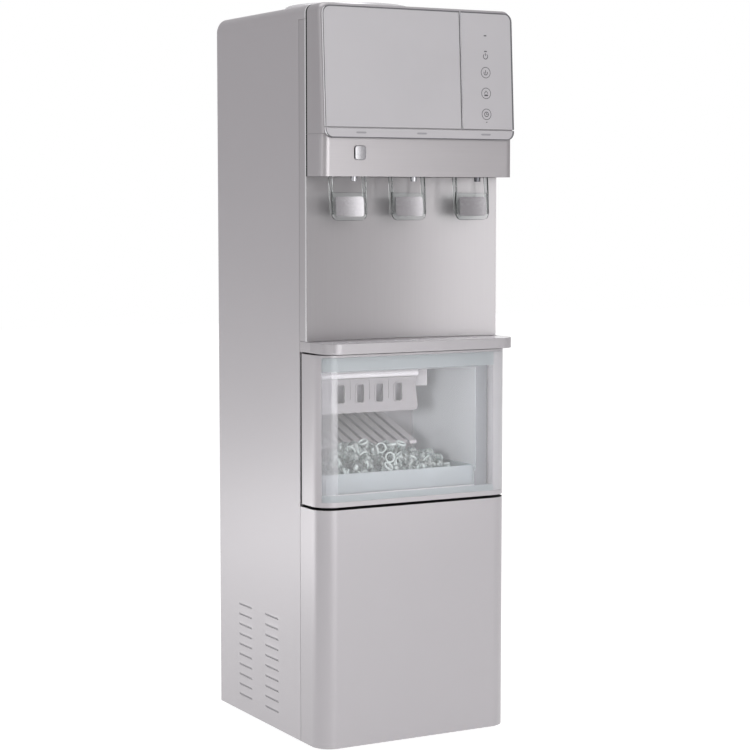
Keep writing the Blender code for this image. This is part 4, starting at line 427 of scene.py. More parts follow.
# Every look: how it is made, its name, its colour and what else its maker takes. A colour is a code, or one
# that a user can change, named by its group and field, with a factor that lightens or darkens it.
MAKERS = {
    "sheet": (powder_coated_steel, "powder_coated_steel", ("cabinet", "sheet", 1)),
    # Painted shade: powder coat darkened for the band that stands in for the shadow in each louvre's slit
    "slit": (powder_coated_steel, "shaded_powder_coat", "8B898D"),
    "cover": (silver_painted_abs, "silver_painted_abs", ("cabinet", "cover", 1)),
    "tray": (silver_painted_abs, "darker_silver_painted_abs", ("cabinet", "cover", 0.89)),
    # Silver moulding lightened near white, as painted light on the tops of the collar and drip grille
    "collar": (moulded_plastic, "glossy_silver_moulding", "F4F3F6", 0.2, 0.7, (0.975, 1.02), 0.45),
    # Painted highlight: near-white silver on rounded edges, front bands and the panes' left sides
    "edge_highlight": (moulded_plastic, "bright_silver_edge", "F2F2F4", 0.3, 0.5, (0.975, 1.02), 0.1),
    "galvanised": (galvanised_sheet, "galvanised_sheet", ("cabinet", "back", 1)),
    "recess": (brushed_stainless, "brushed_stainless_upright", ("head", "steel", 1),
               (1, 1, 0.008), 0.4, 0.33),
    "bar": (brushed_stainless, "brushed_stainless_level", ("head", "steel", 1.12),
            (0.008, 1, 1), 0.55, 0.3),
    "glass": (back_painted_glass, "back_painted_glass", ("head", "glass", 1)),
    "rim": (ground_glass_edge, "ground_glass_edge", ("head", "rim", 1)),
    "mark": (printed_ink, "printed_ink", ("head", "mark", 1)),
    "faint": (printed_ink, "pale_printed_ink", ("head", "faint", 1)),
    "acrylic": (clear_acrylic, "clear_acrylic", ("tap", "paddle", 1)),
    "acrylic_edge": (cut_acrylic_edge, "cut_acrylic_edge", "4A4E4E"),
    "pad": (satin_moulding, "satin_silver_moulding", ("tap", "pad", 1)),
    "button": (satin_moulding, "satin_silver_button", "ABAAAD"),
    "chrome": (chromed_plastic, "chrome_plate", "A2A2A6"),
    "smoked": (chromed_plastic, "dark_chrome_plate", "5C5C60"),
    "window": (clear_window, "clear_window", ("door", "window", 1)),
    # Painted reflection: veils on the window's curved ends; then a pale border that also paints over the
    # shadow under the bin
    "end_reflection": (hazy_window, "curved_window_end", "CDCCCF", 0.35),
    "corner_reflection": (hazy_window, "curved_window_side", "F1F0F3", 0.84, 0.14),
    "band": (hazy_window, "window_border", "C0C5C8", 0.5),
    # The chamber liner's own colour, also painted on the door frame's inside as painted light
    "liner": (moulded_plastic, "polystyrene_liner", ("door", "liner", 1), 0.38),
    # Painted light: the chamber's side walls drawn lighter than its liner
    "wall": (moulded_plastic, "white_liner_wall", "F3F9FB", 0.35),
    # Painted shade: the chamber's back drawn darker than its liner
    "deep": (moulded_plastic, "shaded_liner_back", "A9A8AC", 0.45),
    # Painted shade: the dark grey front of the chamber's mouth
    "seal": (moulded_plastic, "grey_vinyl_seal", ("door", "seal", 1), 0.5),
    "white": (moulded_plastic, "white_polypropylene", ("door", "white", 1), 0.4),
    "bin": (translucent_bin, "clear_san", ("door", "bin", 1)),
    "ice": (clear_ice, "clear_ice", "E6F1EF"),
    # Painted shade: the ramp's slats drawn darker than their plastic
    "ramp": (moulded_plastic, "shaded_polypropylene", "BFBDC0", 0.38),
    "curtain": (moulded_plastic, "grey_polypropylene", "99979A", 0.42),
    "grey": (moulded_plastic, "grey_abs", "C2C1C4", 0.4),
    # Dark grey ABS of the ice mould, also painted on the ramp's slat sides as shade
    "mould": (moulded_plastic, "dark_grey_abs", "85858A", 0.45),
    "steel": (rolled_metal, "bright_steel", "AEB0B2", 0.3),
    "cast": (rolled_metal, "black_enamel_on_steel", "26272A", 0.35, 3.0, (0.9, 1.08), (1, 1, 1), 0.1),
    "nickel": (rolled_metal, "nickel_plate", "B9B7B0", 0.25),
    "fins": (rolled_metal, "aluminium_fins", "C4C7C9", 0.38, 1.4, (0.72, 1.1), (0.02, 0.02, 1)),
    # Black ABS of the switch block and fan, also painted on the lock button's left side as shadow
    "dark": (moulded_plastic, "black_abs", "2B2C2E", 0.45, 0.8, (0.9, 1.12)),
    # Black rubber of the feet and cord gland, also painted as shade in gaps and grooves
    "rubber": (moulded_plastic, "black_rubber", "1D1D1E", 0.75, 1.2, (0.88, 1.15)),
    "foam": (moulded_plastic, "foam_jacket", "D9D6CC", 0.85, 3.0, (0.92, 1.04)),
    "red": (moulded_plastic, "red_nylon", "B3272B", 0.32),
    "green": (moulded_plastic, "green_nylon", "2E7D4A", 0.32),
}
MATERIALS = {}


def material_of(look):
    """Return the material of a look, made the first time that it is asked for."""
    if look not in MATERIALS:
        make, name, colour, *values = MAKERS[look]
        if isinstance(colour, str):
            colour = linear(colour)
        else:
            group, field, factor = colour
            colour = shade(getattr(getattr(bpy.context.scene, f"dispenser_{group}"), field), factor)
        MATERIALS[look] = make(name, colour, *values)
    return MATERIALS[look]


# Shaping helpers

def link(name, form, *materials):
    """Put a bmesh into the scene as an object at the origin with its materials."""
    mesh = bpy.data.meshes.new(name)
    form.to_mesh(mesh)
    form.free()
    piece = bpy.data.objects.new(name, mesh)
    bpy.context.scene.collection.objects.link(piece)
    for material in materials:
        mesh.materials.append(material)
    return piece


def merged(node):
    """Copy a CAD node's mesh into a bmesh and merge its points."""
    form = bmesh.new()
    form.from_mesh(frame["nodes"][node].data)
    bmesh.ops.remove_doubles(form, verts=form.verts, dist=MERGE)
    return form


def loft(form, rings):
    """Join rings of points with faces; a ring of one point is a tip."""
    for low, high in zip(rings, rings[1:]):
        count = max(len(low), len(high))
        for at in range(count):
            nxt = (at + 1) % count
            corners = (low[at % len(low)], low[nxt % len(low)], high[nxt % len(high)], high[at % len(high)])
            form.faces.new(list(dict.fromkeys(corners)))


def cut(form, axis, at):
    """Cut every face of a bmesh along a plane across an axis."""
    across = Vector([float(name == axis) for name in "XYZ"])
    bmesh.ops.bisect_plane(form, geom=form.verts[:] + form.edges[:] + form.faces[:],
                           plane_co=across * at, plane_no=across)


def carry(piece, node):
    """Let a piece ride on a node's body."""
    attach(piece, body_of(frame["nodes"][node])[0])


def wear(piece, look):
    """Give a piece one look in place of all its materials."""
    piece.data.materials.clear()
    piece.data.materials.append(material_of(look))


def bake(piece):
    """Turn a piece's modifiers into plain mesh."""
    graph = bpy.context.evaluated_depsgraph_get()
    mesh = bpy.data.meshes.new_from_object(piece.evaluated_get(graph), preserve_all_data_layers=True,
                                           depsgraph=graph)
    piece.modifiers.clear()
    piece.data = mesh
    return piece


def hollow_front(form, sag):
    """Dish the flat front of a small piece: a shallow hollow across its width, deepest in the middle."""
    cuts = 12
    front = max((face for face in form.faces if face.normal.y < -0.5), key=lambda face: face.calc_area())
    point, normal = front.calc_center_median(), front.normal.copy()
    xs = [vert.co.x for vert in form.verts]
    middle, half = (min(xs) + max(xs)) / 2, (max(xs) - min(xs)) / 2
    for step in range(1, cuts):
        cut(form, "X", middle + half * (2 * step / cuts - 1))
    for vert in form.verts:
        if abs((vert.co - point).dot(normal)) < ON_PLANE:
            vert.co -= normal * sag * (1 - ((vert.co.x - middle) / half) ** 2)


def dressed(node, *looks, edge=None, segments=2, rim=None, paint=None, sag=0.0, cuts=(), shape=None):
    """Copy a CAD node, merge it, round its sharp edges, finish it and let it stand for the node.

    The paint function gives the number of a face's look, or whether it has the second one, from its centre
    and normal; rim is the number for the rounded edges. The shape function changes the copy. Cuts part its
    faces for the paint, each by a plane named by its axis and its place there.
    """
    form = merged(node)
    if sag:
        hollow_front(form, sag)
    if shape:
        shape(form)
    for axis, at in cuts:
        cut(form, axis, at)
    form.normal_update()
    for face in form.faces:
        face.smooth = True
        face.material_index = 0
        if paint:
            face.material_index = int(paint(face.calc_center_median(), face.normal))
    piece = link(f"{node}_finish", form, *[material_of(look) for look in looks])
    width = bpy.context.scene.dispenser_cabinet.edge if edge is None else edge
    if width:
        bevel = piece.modifiers.new("edge", "BEVEL")
        bevel.width = width
        bevel.segments = segments
        bevel.limit_method = "ANGLE"
        bevel.angle_limit = math.radians(EDGE_DEG)
        bevel.loop_slide = False
        if rim is not None:
            bevel.material = rim
        bake(piece)
    piece.data.set_sharp_from_angle(angle=math.radians(SMOOTH_DEG))
    even = piece.modifiers.new("even", "WEIGHTED_NORMAL")
    even.keep_sharp = True
    bake(piece)
    carry(piece, node)
    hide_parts(node)


def dress_plain(*rows):
    """Finish pieces of one look, each named with its look and its edges' radius in mm, if not the usual."""
    for node, look, *edge in rows:
        dressed(node, look, edge=edge[0] * MM if edge else None)


def dress_highlighted(node, look, **settings):
    """Finish a piece whose front edge is painted bright as a highlight."""
    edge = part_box(node)[0].y + HIGHLIGHT_DEPTH
    dressed(node, look, "edge_highlight", cuts=[("Y", edge)],
            paint=lambda centre, normal: centre.y < edge, **settings)


def front_plane(node):
    """Return a point and the outward normal of a node's largest face that looks to the front."""
    mesh = frame["nodes"][node].data
    best = max((face for face in mesh.polygons if face.normal.y < -0.9), key=lambda face: face.area)
    return Vector(best.center), Vector(best.normal)


def on_plane(x, z, plane, lift):
    """Return the point of a plane at x and z, lifted off it."""
    point, normal = plane
    y = point.y - (normal.x * (x - point.x) + normal.z * (z - point.z)) / normal.y
    return Vector((x, y, z)) + normal * lift


def arc_points(x, z, radius, start, end, steps):
    """Return points along an arc, angles in degrees from +X towards +Z."""
    angles = [math.radians(start + (end - start) * step / steps) for step in range(steps + 1)]
    return [(x + radius * math.cos(a), z + radius * math.sin(a)) for a in angles]


def ribbon(points, width, closed=False):
    """Return the quads of a flat line of even width through points in x and z."""
    ends = (points[-1:], points[:1]) if closed else (points[:1], points[-1:])
    sides = []
    for before, (x, z), after in zip(ends[0] + points, points, points[1:] + ends[1]):
        run = Vector((after[0] - before[0], after[1] - before[1])).normalized()
        across = Vector((-run.y, run.x)) * width / 2
        sides.append(((x + across.x, z + across.y), (x - across.x, z - across.y)))
    following = sides[1:] + (sides[:1] if closed else [])
    return [(here[0], here[1], there[1], there[0]) for here, there in zip(sides, following)]


def print_marks(name, node, outlines, look="mark", lift=0.06 * MM):
    """Print flat outlines on the front of a pane."""
    plane = front_plane(node)
    form = bmesh.new()
    for outline in outlines:
        face = form.faces.new([form.verts.new(on_plane(x, z, plane, lift)) for x, z in outline])
        face.normal_update()
        if face.normal.y > 0:
            face.normal_flip()
    bmesh.ops.remove_doubles(form, verts=form.verts, dist=1e-6)
    carry(link(name, form, material_of(look)), node)


def print_border_and_shade(node, width, left, right, top, foot):
    """Print a thin dark border inside the outline of a pane's front, with a factor for each of its sides:
    partly print, partly painted shade along the panes' edges.
    """
    form = merged(node)
    front = {face for face in form.faces if face.normal.y < -0.95}
    edges = [edge for edge in form.edges if sum(face in front for face in edge.link_faces) == 1]
    way = {}
    for edge in edges:
        loop = next(loop for loop in edge.link_loops if loop.face in front)
        way[loop.vert] = loop.link_loop_next.vert
    vert = next(iter(way))
    points = []
    for _ in way:
        points.append((vert.co.x, vert.co.z))
        vert = way[vert]
    form.free()

    def inset(start, end):
        """Give the inward normal of one edge of the outline and the border's width along it."""
        normal = Vector((start[1] - end[1], end[0] - start[0])).normalized()
        side = right if normal.x < 0 else left
        cap = top if normal.y < 0 else foot
        return normal, width * (side * normal.x ** 2 + cap * normal.y ** 2)

    inner = []
    for before, point, after in zip(points[-1:] + points, points, points[1:] + points[:1]):
        first, near = inset(before, point)
        second, far = inset(point, after)
        turn = first.dot(second)
        if turn > STRAIGHT:
            shift = first * near
        else:
            shift = (first * (near - far * turn) + second * (far - near * turn)) / (1 - turn * turn)
        inner.append((point[0] + shift.x, point[1] + shift.y))
    outer_next, inner_next = points[1:] + points[:1], inner[1:] + inner[:1]
    print_marks(f"{node}_border", node, list(zip(points, outer_next, inner_next, inner)), "rim", 0.03 * MM)


def node_group(name, sockets):
    """Start a Geometry Nodes tree with named inputs, and return it with its group nodes."""
    tree = bpy.data.node_groups.new(name, "GeometryNodeTree")
    tree.interface.new_socket("Geometry", in_out="INPUT", socket_type="NodeSocketGeometry")
    for label, kind in sockets:
        tree.interface.new_socket(label, in_out="INPUT", socket_type=kind)
    tree.interface.new_socket("Geometry", in_out="OUTPUT", socket_type="NodeSocketGeometry")
    return tree, add(tree, "NodeGroupInput")


def run_nodes(piece, tree, values, look):
    """Run a Geometry Nodes tree on a piece with values for its inputs, and keep the mesh in one look."""
    values = {**values, "Finish": material_of(look)}
    change = piece.modifiers.new(tree.name, "NODES")
    change.node_group = tree
    for item in tree.interface.items_tree:
        if item.in_out == "INPUT" and item.name in values:
            change[item.identifier] = values[item.name]
    bake(piece)
    wear(piece, look)


def scatter(tree, given, points, turn):
    """End a tree: put the shape that it is given on its points, turned, as one mesh with its finish."""
    shape = add(tree, "GeometryNodeObjectInfo", {"Object": given.outputs["Shape"]})
    placed = add(tree, "GeometryNodeInstanceOnPoints", {
        "Points": points.outputs["Points"], "Instance": shape.outputs["Geometry"], "Rotation": turn})
    solid = add(tree, "GeometryNodeRealizeInstances", {"Geometry": placed.outputs["Instances"]})
    done = add(tree, "GeometryNodeSetMaterial", {"Geometry": solid.outputs["Geometry"],
                                                 "Material": given.outputs["Finish"]})
    add(tree, "NodeGroupOutput", {"Geometry": done.outputs["Geometry"]})
    return tree


def fastener_tree():
    """Make the tree that puts one shape on every vertex of a mesh, each turned a step further."""
    tree, given = node_group("fastener_rows", [("Shape", "NodeSocketObject"), ("Turn", "NodeSocketFloat"),
                                               ("Finish", "NodeSocketMaterial")])
    points = add(tree, "GeometryNodeMeshToPoints", {"Mesh": given.outputs["Geometry"]})
    index = add(tree, "GeometryNodeInputIndex")
    angle = maths(tree, "MULTIPLY", index.outputs["Index"], given.outputs["Turn"])
    turn = add(tree, "ShaderNodeCombineXYZ", {"Y": angle})
    return scatter(tree, given, points, turn.outputs["Vector"])


def heap_tree():
    """Make the tree that strews one shape over a mesh at random, no two nearer than a spacing."""
    tree, given = node_group("ice_heap", [("Shape", "NodeSocketObject"), ("Spacing", "NodeSocketFloat"),
                                          ("Seed", "NodeSocketInt"), ("Finish", "NodeSocketMaterial")])
    spread = add(tree, "GeometryNodeDistributePointsOnFaces", {
        "Mesh": given.outputs["Geometry"], "Distance Min": given.outputs["Spacing"],
        "Density Max": HEAP_DENSITY, "Seed": given.outputs["Seed"]}, distribute_method="POISSON")
    turn = add(tree, "FunctionNodeRandomValue", {"Seed": given.outputs["Seed"]}, data_type="FLOAT_VECTOR")
    turn.inputs[1].default_value = (math.tau, math.tau, math.tau)
    return scatter(tree, given, spread, turn.outputs["Value"])


def screw_head(radius):
    """Make one pan-head screw with a cross recess, its seat at the origin and its head towards +Y."""
    form = bmesh.new()
    deep, slit = radius * 0.62, radius * 0.16
    cross = [(slit, slit), (slit, deep), (-slit, deep), (-slit, slit), (-deep, slit), (-deep, -slit),
             (-slit, -slit), (-slit, -deep), (slit, -deep), (slit, -slit), (deep, -slit), (deep, slit)]
    cross.sort(key=lambda point: math.atan2(point[1], point[0]))
    turns = [math.atan2(z, x) for x, z in cross]
    rings = []
    for share, height in ((1.0, 0.0), (1.0, 0.12), (0.86, 0.42)):
        rings.append([form.verts.new((radius * share * math.cos(a), radius * height,
                                      radius * share * math.sin(a))) for a in turns])
    rings.append([form.verts.new((x, radius * 0.52, z)) for x, z in cross])
    rings.append([form.verts.new((x * 0.9, radius * 0.2, z * 0.9)) for x, z in cross])
    loft(form, rings)
    form.faces.new(rings[0])
    form.faces.new(rings[-1])
    bmesh.ops.recalc_face_normals(form, faces=form.faces)
    return link("screw_pattern", form)


# Operators, one for each piece or group of like pieces

class DISPENSER_OT_cabinet(bpy.types.Operator):
    """Finish the side panels, top cover, bottle collar, base and feet"""
    bl_idname = "dispenser.cabinet"
    bl_label = "Cabinet"

    def execute(self, context):
        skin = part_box("head_housing")[1].x
        panel = frame["nodes"]["side_panel_right"].data
        feet = sorted({round(vert.co.z, 4) for vert in panel.vertices if vert.co.x > skin + 2.5 * MM})
        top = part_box("side_panel_right")[1].z

        def shallow(form):
            """Press the louvres' hoods nearly flat, and close the seam under the top cover."""
            for vert in form.verts:
                over = abs(vert.co.x) - skin
                if over > 0:
                    vert.co.x -= math.copysign(over * HOOD_PRESS, vert.co.x)
                if vert.co.z > top - 0.1 * MM:
                    vert.co.z += SEAM

        def painted_slit_shade(centre, normal):
            """Tell apart the band along each louvre's lower edge that is painted dark as the shade in its
            slit.
            """
            raised = abs(centre.x) > skin + 0.3 * MM
            return raised and any(0 < centre.z - foot < SLIT_SHADE for foot in feet)

        for side in SIDES:
            dressed(f"side_panel_{side}", "sheet", "slit", edge=0.0002, shape=shallow, paint=painted_slit_shade,
                    cuts=[("Z", foot + SLIT_SHADE) for foot in feet])
        dress_highlighted("top_cover", "sheet", edge=0.00012)
        dress_plain(("bottle_collar", "collar"), ("bottle_receiver", "white"), ("feed_probe", "white"),
                    ("base_plate", "galvanised"),
                    *((f"foot_{end}_{side}", "rubber", 0.8) for end in ("front", "rear") for side in SIDES))
        return {"FINISHED"}


class DISPENSER_OT_back(bpy.types.Operator):
    """Finish the back panel with its screws, drain plug, cord gland and switches"""
    bl_idname = "dispenser.back"
    bl_label = "Back"

    def execute(self, context):
        dress_plain(("back_panel", "galvanised", 0.3), ("drain_plug", "white"), ("cord_gland", "rubber"),
                    ("switch_block", "dark"), ("hot_switch_rocker", "red", 0.6),
                    ("ice_switch_rocker", "green", 0.6))
        low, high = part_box("back_panel")
        inset = 12 * MM
        columns = (low.x + inset, high.x - inset)
        places = [(x, high.y, low.z + (high.z - low.z) * share)
                  for x in columns for share in (0.02, 0.26, 0.5, 0.74, 0.98)]
        places += [(0, high.y, low.z + (high.z - low.z) * share) for share in (0.02, 0.98)]
        form = bmesh.new()
        for place in places:
            form.verts.new(place)
        piece = link("back_screws", form)
        pattern = screw_head(context.scene.dispenser_cabinet.screw)
        run_nodes(piece, fastener_tree(), {"Shape": pattern, "Turn": SCREW_TURN}, "steel")
        bpy.data.objects.remove(pattern)
        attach(piece, "cabinet")
        return {"FINISHED"}


class DISPENSER_OT_head(bpy.types.Operator):
    """Finish the head housing, glass panes, tap bar, lock button and recess"""
    bl_idname = "dispenser.head"
    bl_label = "Head and recess"

    def execute(self, context):
        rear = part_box("head_housing")[1].y - GROOVE

        def shadow_gap(centre, normal):
            """Tell apart the band behind the head, painted black as the shadow in the groove that runs round
            its sides and top.
            """
            return 2 if centre.y > rear and abs(normal.y) < 0.5 else 0

        groove = [("Y", rear)]
        # Its rounded edges are painted bright as highlights, and its rear band black as the groove's shadow
        dressed("head_housing", "cover", "edge_highlight", "rubber", edge=0.0008, rim=1, paint=shadow_gap, cuts=groove)
        for pane, seam in (("display_glass", -1), ("control_pane", -1), ("label_strip", 1)):

            def pane_side(centre, normal):
                """Tell apart the dark edge and the left side, painted bright as a highlight; the seam's edge
                looks like glass.
                """
                if abs(normal.y) > 0.9 or normal.y < -0.3 and normal.z * seam > 0.5:
                    return 0
                return 2 if normal.x < -0.6 else 1

            dressed(pane, "glass", "rim", "edge_highlight", edge=0.0003, segments=1, paint=pane_side)
        # The tap bar's rounded edges are painted bright as highlights, and its rear band black as the
        # groove's shadow
        dressed("tap_bar", "bar", "edge_highlight", "rubber", "cover", edge=0.0006, rim=1, cuts=groove,
                paint=lambda centre, normal: shadow_gap(centre, normal) or (3 if abs(normal.x) > 0.8 else 0))
        # Its left side is painted black, as the shadow in the recess beside it
        dressed("lock_button", "button", "dark", edge=0.0006, segments=3, sag=-0.0006,
                paint=lambda centre, normal: normal.x < -0.6)
        dress_highlighted("front_frame", "cover")
        dressed("recess_panel", "recess", edge=0.0002)
        return {"FINISHED"}


class DISPENSER_OT_marks(bpy.types.Operator):
    """Print the plain symbols on the control pane and the label strip"""
    bl_idname = "dispenser.marks"
    bl_label = "Symbols"

    def execute(self, context):
        look = context.scene.dispenser_head
        ring, line = look.ring, look.line
        outlines = []

        def stroke(middle, points, width=line):
            """Draw a line through points in millimetres from a symbol's middle."""
            x, z = middle
            outlines.extend(ribbon([(x * MM + dx * MM, z * MM + dz * MM) for dx, dz in points], width))

        def arc(middle, radius, start, end, steps, rise=0.0):
            """Draw part of a ring round a symbol's middle, or that many millimetres over it."""
            x, z = middle
            outlines.extend(ribbon(arc_points(x * MM, z * MM + rise * MM, radius, start, end, steps), line))

        def circle(middle, radius, width=line):
            """Draw a whole ring."""
            x, z = middle
            outlines.extend(ribbon(arc_points(x * MM, z * MM, radius, 0, 360, 32)[:-1], width, True))

        # Two indicator windows, each a short dash
        for middle in ((106.8, 1007.6), (106.8, 985.5)):
            stroke(middle, [(-2.2, 0), (2.2, 0)], 1.7 * MM)
        # Stand-by symbol
        middle = (106.7, 978.4)
        arc(middle, 3.6 * MM, 125, 415, 20)
        stroke(middle, [(0, 0.8), (0, 4.6)])
        # Three touch rings: falling water, a cup, and a timer
        middle = (106.4, 955.6)
        circle(middle, ring, line * 0.8)
        arc(middle, 2.9 * MM, 150, 390, 14, -0.4)
        stroke(middle, [(0, -1.4), (0, 3.4)])
        middle = (106.3, 926.4)
        circle(middle, ring, line * 0.8)
        stroke(middle, [(-2.9, -0.2), (0, 3.6), (2.9, -0.2)])
        stroke(middle, [(-3.0, -2.8), (3.0, -2.8)], line * 2)
        middle = (106.2, 896.8)
        circle(middle, ring, line * 0.8)
        circle(middle, 3.2 * MM)
        stroke(middle, [(0, 2.0), (0, 0), (1.6, -0.6)])
        # A small dash under the last ring
        stroke((106.2, 885.6), [(-1.2, 0), (1.2, 0)])
        print_marks("control_symbols", "control_pane", outlines)

        # One flat mark over each tap
        z, tip, flat, half = 868 * MM, 8.5 * MM, 6.5 * MM, 1.3 * MM
        print_marks("strip_symbols", "label_strip", [
            [(x - tip, z), (x - flat, z - half), (x + flat, z - half),
             (x + tip, z), (x + flat, z + half), (x - flat, z + half)]
            for x in (-96.8 * MM, -0.5 * MM, 104.5 * MM)], "faint")
        # Each pane's border, partly painted shade: factors for its left, right, top and foot
        print_border_and_shade("display_glass", look.border, 1.0, 0.6, 1.3, 0.1)
        print_border_and_shade("control_pane", look.border, 0.4, 2.2, 1.3, 0.1)
        print_border_and_shade("label_strip", look.border, 1.0, 2.2, 0.1, 0.9)
        return {"FINISHED"}


class DISPENSER_OT_taps(bpy.types.Operator):
    """Finish the three taps: valve, nozzle, clear paddle, pad and pin"""
    bl_idname = "dispenser.taps"
    bl_label = "Taps"

    def execute(self, context):
        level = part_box("tap_bar")[0].z
        for place, tip in (("left", "chrome"), ("middle", "chrome"), ("right", "smoked")):
            dressed(f"tap_valve_{place}", "white", tip, edge=0.0003,
                    paint=lambda centre, normal: centre.z < level)
            dressed(f"paddle_{place}", "acrylic", "acrylic_edge", edge=0.0006, segments=1, rim=1)
            dressed(f"paddle_pad_{place}", "pad", edge=0.0006, sag=0.0009)
            dressed(f"paddle_pin_{place}", "steel", edge=0.0002)
        return {"FINISHED"}


class DISPENSER_OT_tray(bpy.types.Operator):
    """Finish the dispensing deck, drip tray and its grille"""
    bl_idname = "dispenser.tray"
    bl_label = "Drip tray"

    def execute(self, context):
        # The drip grille wears the collar's near-white silver, as painted light on the tray's top
        dress_plain(("dispensing_deck", "cover"), ("drip_tray", "tray", 0.6), ("drip_grille", "collar", 0.3))
        return {"FINISHED"}


class DISPENSER_OT_door(bpy.types.Operator):
    """Finish the lower panel, the ice door, its window and pins"""
    bl_idname = "dispenser.door"
    bl_label = "Door and lower panel"

    def execute(self, context):
        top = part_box("lower_front_panel")[1].z
        # Its top face is painted black, as the shadow in the gap under the door.
        dressed("lower_front_panel", "cover", "rubber",
                paint=lambda centre, normal: normal.z > 0.9 and centre.z > top - MM)
        low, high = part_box("door_frame")
        heart = Vector((0, high.y, (low.z + high.z) / 2))
        seam_shade = high.y - SEAM_SHADE

        def door_side(centre, normal):
            """Tell apart the silver outside, the inside painted light in the liner's colour, and the foot and
            the rear band of the faces looking left, painted black as the shadow in the gaps round the door.
            """
            if normal.z < -0.9 and centre.z < low.z + MM or normal.x < -0.9 and centre.y > seam_shade:
                return 2
            return normal.dot(centre - heart) < 0

        dressed("door_frame", "cover", "liner", "rubber", paint=door_side, cuts=[("Y", seam_shade)])
        foot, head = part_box("door_window")
        across, over, under = high.x - 27.5 * MM, head.z - 19 * MM, foot.z + 9 * MM

        def window_side(centre, normal):
            """Tell apart the right end and left corner, veiled as painted reflection, and the pale border
            bands along the top and foot, the foot's band also painted over the shadow under the bin.
            """
            if centre.z > over or centre.z < under:
                return 2 if centre.x < across else 1
            return 1 if centre.x > across else 3 if centre.x < -across else 0

        dressed("door_window", "window", "end_reflection", "band", "corner_reflection", edge=0.0003, paint=window_side,
                cuts=[("Z", over), ("Z", under)])
        dress_plain(("door_pin_lower", "steel", 0.2), ("door_pin_upper", "steel", 0.2))
        return {"FINISHED"}


class DISPENSER_OT_ice_maker(bpy.types.Operator):
    """Finish the ice chamber and the ice maker inside it"""
    bl_idname = "dispenser.ice_maker"
    bl_label = "Ice chamber"

    def execute(self, context):
        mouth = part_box("ice_chamber")[0].y + MM
        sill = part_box("ice_bin")[0].z + 2 * MM

        def liner_side(centre, normal):
            """Tell apart the front of the mouth, painted dark grey as shade, the side walls, painted light,
            and the back, painted darker as shade.
            """
            if normal.y < -0.9:
                return 3 if centre.y > mouth else 1 if centre.z > sill else 0
            return 2 if abs(normal.x) > 0.9 else 0

        dressed("ice_chamber", "liner", "seal", "wall", "deep", edge=0.0008, paint=liner_side)
        dress_plain(("ice_bin", "bin", 0.5), ("ice_maker_housing", "white", 0.6),
                    ("ice_curtain", "curtain", 0.4), ("evaporator", "nickel", 0.3),
                    ("ice_mould", "mould", 0.5), ("mould_motor", "grey", 0.4))
        # The slats are drawn darker as painted shade, and their sides dark grey as the painted shadow in the
        # gaps between them
        dressed("ice_ramp", "ramp", "mould", edge=0.0006,
                paint=lambda centre, normal: abs(normal.x) > 0.6)
        dressed("ice_water_tank", "white", edge=0.0005)
        return {"FINISHED"}


class DISPENSER_OT_ice(bpy.types.Operator):
    """Heap the bullet ice in the bin"""
    bl_idname = "dispenser.ice"
    bl_label = "Ice"

    def execute(self, context):
        look = context.scene.dispenser_ice
        low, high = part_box("ice_bin")
        rim = high.z
        # The pile's ridge in front of the ramp: its height over the bin's rim along the width
        ridge = ((-0.106, -2), (-0.092, 32), (-0.080, 43), (-0.058, 46), (-0.030, 41), (0.005, 39),
                 (0.030, 33), (0.056, 27), (0.070, 24), (0.084, 12), (0.094, 0), (0.108, -10))
        front, crest, back = low.y + 14 * MM, low.y + 33 * MM, low.y + 43 * MM
        form = bmesh.new()
        for layer in range(2):
            rows = []
            for x, rise in ridge:
                top = rim - look.radius + rise * MM - layer * 13 * MM
                foot = rim - look.radius - layer * 9 * MM + min(rise, 2) * MM
                rows.append([form.verts.new(place) for place in (
                    (x, front, foot), (x, crest, top), (x, back, top - 4 * MM))])
            for here, there in zip(rows, rows[1:]):
                for at in (0, 1):
                    form.faces.new((here[at], there[at], there[at + 1], here[at + 1]))
        heap = link("ice_heap", form)
        cup = self.cup(look)
        run_nodes(heap, heap_tree(), {"Shape": cup, "Spacing": look.spacing, "Seed": look.seed}, "ice")
        bpy.data.objects.remove(cup)
        if not heap.data.polygons:
            raise RuntimeError("the heap of ice is empty")
        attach(heap, "ice_bin")
        return {"FINISHED"}

    @staticmethod
    def cup(look):
        """Make one piece of bullet ice: a thick cup with a domed end and a hollow for the finger."""
        radius, half = look.radius, look.length / 2
        sides = 12
        # The third value of each point is 1 along the cup's open rim, where the ice is painted white as a
        # highlight
        profile = [(0.0, -half, 0)]
        profile += [(radius * math.sin(math.radians(a)), -half + radius * (1 - math.cos(math.radians(a))), 0)
                    for a in (30, 58, 90)]
        profile += [(radius * 1.02, half * 0.5, 0), (radius, half * 0.92, 1), (radius * 0.9, half, 1),
                    (radius * 0.78, half * 0.92, 1), (radius * 0.68, half * 0.5, 0),
                    (radius * 0.5, -half * 0.1, 0), (0.0, -half * 0.35, 0)]
        form = bmesh.new()
        rim = form.verts.layers.float.new("rim")
        rings = []
        for r, z, white in profile:
            turns = range(sides if r else 1)
            rings.append([form.verts.new((r * math.cos(math.tau * at / sides),
                                          r * math.sin(math.tau * at / sides), z)) for at in turns])
            for vert in rings[-1]:
                vert[rim] = white
        loft(form, rings)
        bmesh.ops.recalc_face_normals(form, faces=form.faces)
        for face in form.faces:
            face.smooth = True
        return link("ice_cup", form)


class DISPENSER_OT_machinery(bpy.types.Operator):
    """Finish the tanks, compressor, condenser and fan"""
    bl_idname = "dispenser.machinery"
    bl_label = "Machinery"

    def execute(self, context):
        dress_plain(("cold_tank", "foam", 1.0), ("hot_tank", "foam", 1.0), ("compressor", "cast", 1.0),
                    ("condenser", "fins", 0.3), ("fan_shroud", "galvanised", 0.4), ("fan_rotor", "dark", 0.4))
        return {"FINISHED"}


